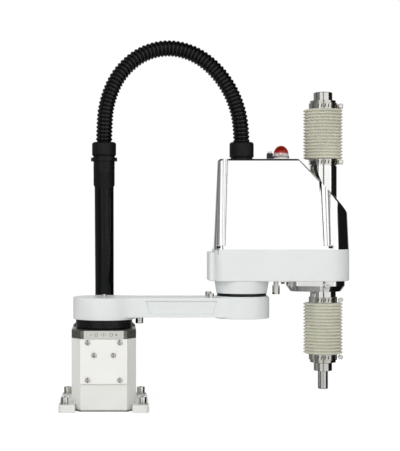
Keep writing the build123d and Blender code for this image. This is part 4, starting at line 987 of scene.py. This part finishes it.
@dataclass
class Pedestal:
    """Base casting with its cover, flange, feet and fasteners."""

    cover_screw: CapScrew = CapScrew(4.2, 2.4, 2.6, 1.3, dome=True)
    cover_face: float = -65.0
    cover_screws: Profile = (
        (-25.0, 107.5), (25.0, 107.5), (-15.0, 88.0), (15.0, 88.0), (-25.0, 49.6), (25.0, 49.6),
    )
    panel_face: float = 98.5
    panel_screws: Profile = ((-17.5, 14.0), (17.5, 14.0), (-17.5, 99.0), (17.5, 99.0))
    foot_screw: CapScrew = CapScrew(6.5, 8.0, 6.0, 3.6, 0.8)
    foot_top: float = 12.0
    foot_place: float = 60.0
    washer_bore: float = 4.3
    washers: Profile = ((8.4, 1.6), (6.6, 1.9))
    flange_screw: CapScrew = CapScrew(3.6, 4.0, 3.0, 2.0)
    flange_screw_x: float = 41.0
    flange_screw_y: tuple[float, float] = (-36.0, 30.0)
    flange_top: float = 125.5
    pocket: float = 5.5
    stop_bolt: CapScrew = CapScrew(4.0, 10.0, 3.0, 2.4)
    stop_place: tuple[float, float] = (27.4, 49.4)
    scale_face: float = -63.0
    scale_z: float = 119.5
    ink: float = 0.08
    ink_root: float = 0.02
    ring_x: float = 11.5
    ring: Profile = ((2.1, 0.0), (2.6, 0.0), (2.6, 0.08), (2.1, 0.08), (2.1, 0.0))
    bars: Sequence[tuple[float, float, float]] = (
        (-19.5, 1.6, 0.35), (19.5, 1.6, 0.35), (19.5, 0.35, 1.6), (0.0, 0.3, 3.0), (-3.0, 0.25, 1.6),
        (3.0, 0.25, 1.6),
    )

    def build(self) -> None:
        """Dresses the casting and builds the screws, washers and scale marks."""
        dress(Look.BASE_PAINT, "base_casting")
        dress(Look.COVER_PAINT, "front_cover")
        dress(Look.GASKET, "front_cover_gasket")
        dress(Look.PLATE_METAL, "bottom_plate", "rear_panel")
        dress(Look.FLANGE_METAL, "j1_flange")
        dress(Look.SCALE_METAL, "scale_plate")
        dress(Look.BLACK_OXIDE, "j1_bearing_housing")
        self.cover_heads()
        self.feet()
        self.flange_heads()
        self.scale_marks()

    def cover_heads(self) -> None:
        """Domed socket screws of the front cover and of the connector panel."""
        heads = [(self.cover_screw, (x, self.cover_face, z), FRONT) for x, z in self.cover_screws]
        heads += [(self.cover_screw, (x, self.panel_face, z), BACK) for x, z in self.panel_screws]
        made = screw_heads("cover_screw_heads", heads, Look.SCREW_STEEL, "base", "steel")
        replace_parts(made, "base_screws")

    def feet(self) -> None:
        """Mounting screws with spring and flat washers on the four feet."""
        places = [(sx * self.foot_place, sy * self.foot_place) for sx in (-1, 1) for sy in (-1, 1)]
        flat, heads = Skin("foot_washers"), []
        for x, y in places:
            seat = self.foot_top
            for outer, thickness in self.washers:
                flat.add(washer(outer, self.washer_bore, thickness, (x, y, seat)))
                seat += thickness
            heads.append((self.foot_screw, (x, y, seat), UP))
        flat.piece(Look.SCREW_STEEL.value, "base", "steel")
        screw_heads("foot_screws", heads, Look.SCREW_STEEL, "base", "steel")

    def flange_heads(self) -> None:
        """Corner screws of the flange and the two stop bolts behind."""
        front, rear = self.flange_screw_y
        stop_x, stop_y = self.stop_place
        heads = []
        for side in (-1, 1):
            x = side * self.flange_screw_x
            heads.append((self.flange_screw, (x, front, self.flange_top - self.pocket), UP))
            heads.append((self.flange_screw, (x, rear, self.flange_top), UP))
            heads.append((self.stop_bolt, (side * stop_x, stop_y, self.flange_top), UP))
        made = screw_heads("flange_screw_heads", heads, Look.SCREW_STEEL, "base", "steel")
        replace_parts(made, "j1_flange_bolts")

    def scale_marks(self) -> None:
        """Plain marks on the light plate: two rings, a minus, a plus and centre lines."""
        skin = Skin("scale_marks")
        y, z = self.scale_face, self.scale_z
        for x in (-self.ring_x, self.ring_x):
            skin.add(aimed(turned(self.ring, 40), (x, y, z), FRONT))
        for x, half_x, half_z in self.bars:
            low = (x - half_x, y - self.ink, z - half_z)
            skin.add(block(low, (x + half_x, y + self.ink_root, z + half_z)))
        skin.piece(Look.MARK_INK.value, "base", "black_plastic")


@dataclass
class RearConnectors:
    """Connector, air fittings and gland on the panel behind the base."""

    face: float = 98.5
    connector_z: float = 75.0
    gland_z: float = 27.0
    fitting_z: float = 46.0
    fitting_x: float = 7.5
    pin: Profile = ((0.0, 0.0), (0.5, 0.0), (0.5, 0.5), (0.0, 0.8))
    pin_rows: Sequence[tuple[float, int, float]] = ((-1.3, 8, 0.0), (1.3, 7, 1.1))
    pin_pitch: float = 2.2
    pin_drop: float = 7.7
    pin_out: float = 5.9
    collet: Profile = (
        (2.1, -1.0), (3.4, -1.0), (3.4, 0.8), (3.0, 1.2), (2.3, 1.2), (2.1, 0.9), (2.1, -1.0),
    )
    collet_out: float = 7.0
    nut_flats: float = 16.6
    nut: Profile = ((5.2, 3.2), (8.3, 3.2), (8.3, 6.8), (7.6, 7.4), (5.2, 7.4), (5.2, 3.2))

    def build(self) -> None:
        """Dresses the fittings and adds contacts, collets and a gland nut."""
        dress(Look.GROUND_STEEL, "user_connector")
        dress(Look.NUT_PLASTIC, "cable_gland")
        dress(Look.FITTING, "air_fittings")
        pins = Skin("connector_contacts")
        for x, count, offset in self.pin_rows:
            for z in self.connector_z - self.pin_drop + offset + self.pin_pitch * np.arange(count):
                pins.add(aimed(turned(self.pin, 12), (x, self.face + self.pin_out, z), BACK))
        pins.piece(Look.CONTACT.value, "base", "steel")
        rings = Skin("fitting_collets")
        for side in (-1, 1):
            seat = (side * self.fitting_x, self.face + self.collet_out, self.fitting_z)
            rings.add(aimed(turned(self.collet, 32), seat, BACK))
        rings.piece(Look.BLACK_SCREW.value, "base", "black_plastic")
        nut = aimed(hex_turned(self.nut, self.nut_flats, 96), (0.0, self.face, self.gland_z), BACK)
        Skin("gland_nut").add(nut).piece(Look.NUT_PLASTIC.value, "base", "black_plastic", 25.0)


# Arms


@dataclass
class FirstArm:
    """First arm with the seal and stop bolts of both joints."""

    top: float = 175.0
    stop_radius: float = 57.0
    stop_angle: float = 154.1
    stop_bolt: CapScrew = CapScrew(5.0, 7.0, 4.0, 3.0)
    axis_screw: CapScrew = CapScrew(3.0, 4.0, 2.5, 1.8, 0.4)

    def build(self) -> None:
        """Dresses the arm and builds its bolt heads."""
        dress(Look.ARM_PAINT, "arm1_casting")
        dress(Look.BLACK_OXIDE, "j2_seal_ring")
        dress(Look.SCREW_STEEL, "j1_stop_pin")
        angle = math.radians(self.stop_angle)
        x, y = J2_X + self.stop_radius * math.cos(angle), self.stop_radius * math.sin(angle)
        heads = [(self.stop_bolt, (x, side * y, self.top), UP) for side in (-1, 1)]
        heads.append((self.axis_screw, (0.0, 0.0, self.top), UP))
        made = screw_heads("arm1_bolt_heads", heads, Look.SCREW_STEEL, "arm1", "steel")
        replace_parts(made, "arm1_top_bolts")


@dataclass
class SecondArm:
    """Second arm: casting, plated hood and cover, tube, sleeve and fasteners."""

    hood_seat: float = 253.0
    hood_screw: CapScrew = CapScrew(3.2, 3.4, 2.5, 1.8, 0.4)
    hood_screws: Profile = ((180.0, 37.5), (356.0, 38.8))
    tab_screw: CapScrew = CapScrew(3.0, 3.0, 2.5, 1.6, 0.4)
    tab_seat: Point = (286.0, 0.0, 198.5)
    front_screw: CapScrew = CapScrew(5.2, 5.0, 4.0, 2.6, 0.6)
    front_seat: Point = (J3_X, -34.5, 194.0)

    def build(self) -> None:
        """Dresses the arm and builds its screw heads."""
        dress(Look.ARM_PAINT, "arm2_casting")
        dress(Look.HOOD_PLATING, "hood")
        dress(Look.PLATING, "lower_cover", "upper_tube", "lower_sleeve")
        dress(Look.SCREW_STEEL, "j2_stop_pin")
        places = [(x, side * y, self.hood_seat) for x, y in self.hood_screws for side in (-1, 1)]
        heads = [(self.hood_screw, place, UP) for place in places]
        heads.append((self.tab_screw, self.tab_seat, DOWN))
        made = screw_heads("arm2_screw_heads", heads, Look.BLACK_SCREW, "arm2", "black_steel")
        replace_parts(made, "arm2_screws")
        front = [(self.front_screw, self.front_seat, FRONT)]
        screw_heads("cover_front_screw", front, Look.SCREW_STEEL, "arm2", "steel")


@dataclass
class SignalLamp:
    """Lamp with a two-tone lens, a bright reflector inside it and a ring at its foot."""

    x: float = 283.0
    foot_z: float = 397.0
    cup: Profile = (
        (0.0, 1.0), (5.5, 1.0), (6.5, 2.5), (4.4, 5.0), (4.6, 10.5), (3.4, 13.0), (1.6, 14.2), (0.0, 14.5),
    )
    ring: Profile = ((12.25, 0.0), (13.3, 0.0), (13.3, 1.8), (12.9, 2.3), (12.25, 2.3), (12.25, 0.0))

    def build(self) -> None:
        """Dresses the lamp and turns its reflector and ring."""
        dress(Look.WHITE_PLASTIC, "lamp_base")
        dress(Look.LENS, "lamp_lens")
        cup = aimed(turned(self.cup, 48), (self.x, 0.0, self.foot_z), UP)
        Skin("lamp_reflector").add(cup).piece(Look.REFLECTOR.value, "arm2", "plating", 30.0)
        foot = aimed(turned(self.ring, 64), (self.x, 0.0, self.foot_z), UP)
        Skin("lamp_ring").add(foot).piece(Look.PLATE_METAL.value, "arm2", "plain_plate", 30.0)


@dataclass
class BrakeSwitch:
    """Switch box with its button, which a finger pushes down."""

    x: float = 265.0
    top: float = 404.0
    bezel: Profile = (
        (3.15, 0.0), (4.2, 0.0), (4.2, 0.5), (3.9, 0.8), (3.4, 0.8), (3.15, 0.5), (3.15, 0.0),
    )

    def build(self) -> None:
        """Dresses the box and adds a thin bezel round the button."""
        dress(Look.SWITCH_PLASTIC, "brake_switch")
        dress(Look.WHITE_PLASTIC, "brake_button")
        made = Skin("button_bezel").add(aimed(turned(self.bezel, 48), (self.x, 0.0, self.top), UP))
        made.piece(Look.SCREW_STEEL.value, "arm2", "steel")


# Shaft


@dataclass
class ShaftLine:
    """Shaft with its collars, the bearing cases and the band clamps."""

    fixed: Sequence[float] = (166.0, 385.5)
    moving: Sequence[float] = (75.0, 474.5)
    band_outer: float = 22.5
    band_width: float = 9.0
    worm: Profile = ((0.0, 0.0), (3.5, 0.0), (3.5, 4.0), (3.0, 4.6), (0.0, 4.6))
    worm_flats: float = 7.0
    worm_out: float = 4.0
    worm_y: float = -8.0
    # The slot marks are painted shade: thin dark sheets where the bands are open.
    slot_bearings: Sequence[float] = (-118.0, -104.0, -90.0, -76.0, -62.0)
    slot_half: float = 0.035
    slot_lean: float = 0.03
    slot_rise: float = 2.8
    slot_sunk: float = 0.12
    slot_thick: float = 0.2

    def build(self) -> None:
        """Dresses the line and builds the clamps' worm screws and the painted shade in their band slot
        openings.
        """
        dress(Look.GROUND_STEEL, "shaft", "stop_collars")
        dress(Look.BAND_STEEL, "bearing_cases", "fixed_clamps", "moving_clamps")
        self.worms("clamp_worms_fixed", self.fixed, "arm2")
        self.worms("clamp_worms_moving", self.moving, "quill")

    def worms(self, name: str, lows: Sequence[float], body: str) -> None:
        """Worm screw with a hexagon head at the right of each band, and in front of it
        thin dark sheets of painted shade in the band's slot openings.

        Args:
            name: the piece's name.
            lows: the lower edges of the bands.
            body: the CAD body that they ride on.
        """
        skin, slots = Skin(name), Skin(name.replace("worms", "slots"))
        for low in lows:
            z = low + 0.5 * self.band_width
            seat = (J3_X + self.band_outer + self.worm_out, self.worm_y, z)
            skin.add(aimed(hex_turned(self.worm, self.worm_flats, 60), seat, FRONT))
            for angle in np.radians(self.slot_bearings):
                slots.add(self.slot_shade_mark(angle, z))
        skin.piece(Look.SCREW_STEEL.value, body, "steel", 25.0)
        # Painted shade: these dark sheets stand in for the shade inside the band slot openings.
        slots.piece(Look.BLACK_SCREW.value, body, "black_steel")

    def slot_shade_mark(self, angle: float, z: float) -> Array:
        """Painted shade in a slanted slot of a band: a thin dark sheet bent round the shaft's axis.

        Args:
            angle: its bearing in radians.
            z: its middle height.

        Returns:
            A grid of shape (7, 4, 3); its first and last ring shrink to a point.
        """
        tilt = np.linspace(-1.0, 1.0, 5)[:, None]
        width, depth = np.array([[-1.0, 1.0, 1.0, -1.0], [0.0, 0.0, 1.0, 1.0]])
        bearing = angle + self.slot_half * width + self.slot_lean * tilt
        radius = self.band_outer - self.slot_sunk + self.slot_thick * depth
        x, y = J3_X + radius * np.cos(bearing), radius * np.sin(bearing)
        grid = np.stack(np.broadcast_arrays(x, y, z + self.slot_rise * tilt), axis=-1)
        ends = [np.repeat(grid[i].mean(0)[None], 4, 0)[None] for i in (0, -1)]
        return np.concatenate([ends[0], grid, ends[1]])


@dataclass
class Bellows:
    """Folded elastomer tube round the shaft, turned at one fixed length."""

    name: str
    node: str
    low: float
    high: float
    cuff: float = 9.0
    crest: float = 31.2
    root: float = 27.6
    sleeve: float = 21.5
    bore: float = 20.6
    wall: float = 0.8
    folds: int = 16
    samples: int = 12
    steps: int = 96
    arm_below: bool = True

    def build(self) -> None:
        """Turns the folds: outer skin up and inner skin down, with plain cuffs. The radius
        is root + (crest - root) * (0.5 - 0.5 * cos(pi * w)), where w is
        (1 - |2u - 1|)**0.85 at the place u in a fold.
        """
        place = np.arange(self.folds * self.samples + 1) / self.samples
        share = np.mod(place, 1.0)
        rise = (1.0 - np.abs(2.0 * share - 1.0)) ** 0.85
        rise = 0.5 - 0.5 * np.cos(math.pi * rise)
        radius = self.root + (self.crest - self.root) * rise
        radius[0] = radius[-1] = self.sleeve + 0.4
        height = self.low + (self.high - self.low) * place / self.folds
        outside = np.column_stack([radius, height])
        inside = np.column_stack([np.maximum(radius - self.wall, self.bore + 0.05), height])[::-1]
        bottom, top = self.low - self.cuff, self.high + self.cuff
        cuff_low = [(self.bore, bottom), (self.sleeve, bottom), (self.sleeve, self.low)]
        cuff_high = [(self.sleeve, self.high), (self.sleeve, top), (self.bore, top)]
        profile = np.concatenate([cuff_low, outside, cuff_high, inside, cuff_low[:1]])
        grid = aimed(turned(profile, self.steps), (J3_X, 0.0, 0.0), UP)
        made = Skin(self.name).add(grid).piece(Look.BELLOWS.value, "", "bellows_rubber", 60.0)
        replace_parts(made, self.node)
        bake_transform(made)


@dataclass
class DriveTrain:
    """Motors, reducers, bearings, nuts and belts inside the casting and the hood."""

    def build(self) -> None:
        """Dresses the inner pieces, each with its own finish."""
        dress(Look.MOTOR_PAINT, "j1_motor", "j2_motor", "z_motor", "u_motor")
        dress(Look.GROUND_STEEL, "j1_wave_generator", "j2_wave_generator", "j1_hub", "j2_hub", "j2_bearing")
        dress(Look.SCREW_STEEL, "j1_circular_spline", "j2_circular_spline", "nut_bearings")
        dress(Look.SCREW_STEEL, "screw_nut", "spline_nut")
        dress(Look.BRACKET_METAL, "upper_bracket", "u_motor_bracket", "z_motor_pulley", "u_motor_pulley")
        dress(Look.BELT, "drive_belts")


def main() -> None:
    """Builds the sub-assemblies in order and reports each."""
    logging.basicConfig(level=logging.INFO, format="%(name)s: %(message)s")
    parts = [
        Studio(), GuideHose(),
        HoseNut("lower_nut_fluted", "lower_hose_nut", "base", 0.0, 397.0, 422.0),
        HoseNut("upper_nut_fluted", "upper_hose_nut", "arm2", J2_X, 394.0, 422.0),
        DuctLine(), Pedestal(), RearConnectors(), FirstArm(), SecondArm(), SignalLamp(), BrakeSwitch(),
        ShaftLine(),
        Bellows("upper_bellows_folds", "upper_bellows", 394.5, 474.5),
        Bellows("lower_bellows_folds", "lower_bellows", 84.0, 166.0, arm_below=False),
        DriveTrain(),
    ]
    for part in parts:
        before = len(bpy.data.objects)
        part.build()
        LOG.info("%s built, %d new objects", type(part).__name__, len(bpy.data.objects) - before)


if __name__ == "__main__":
    main()
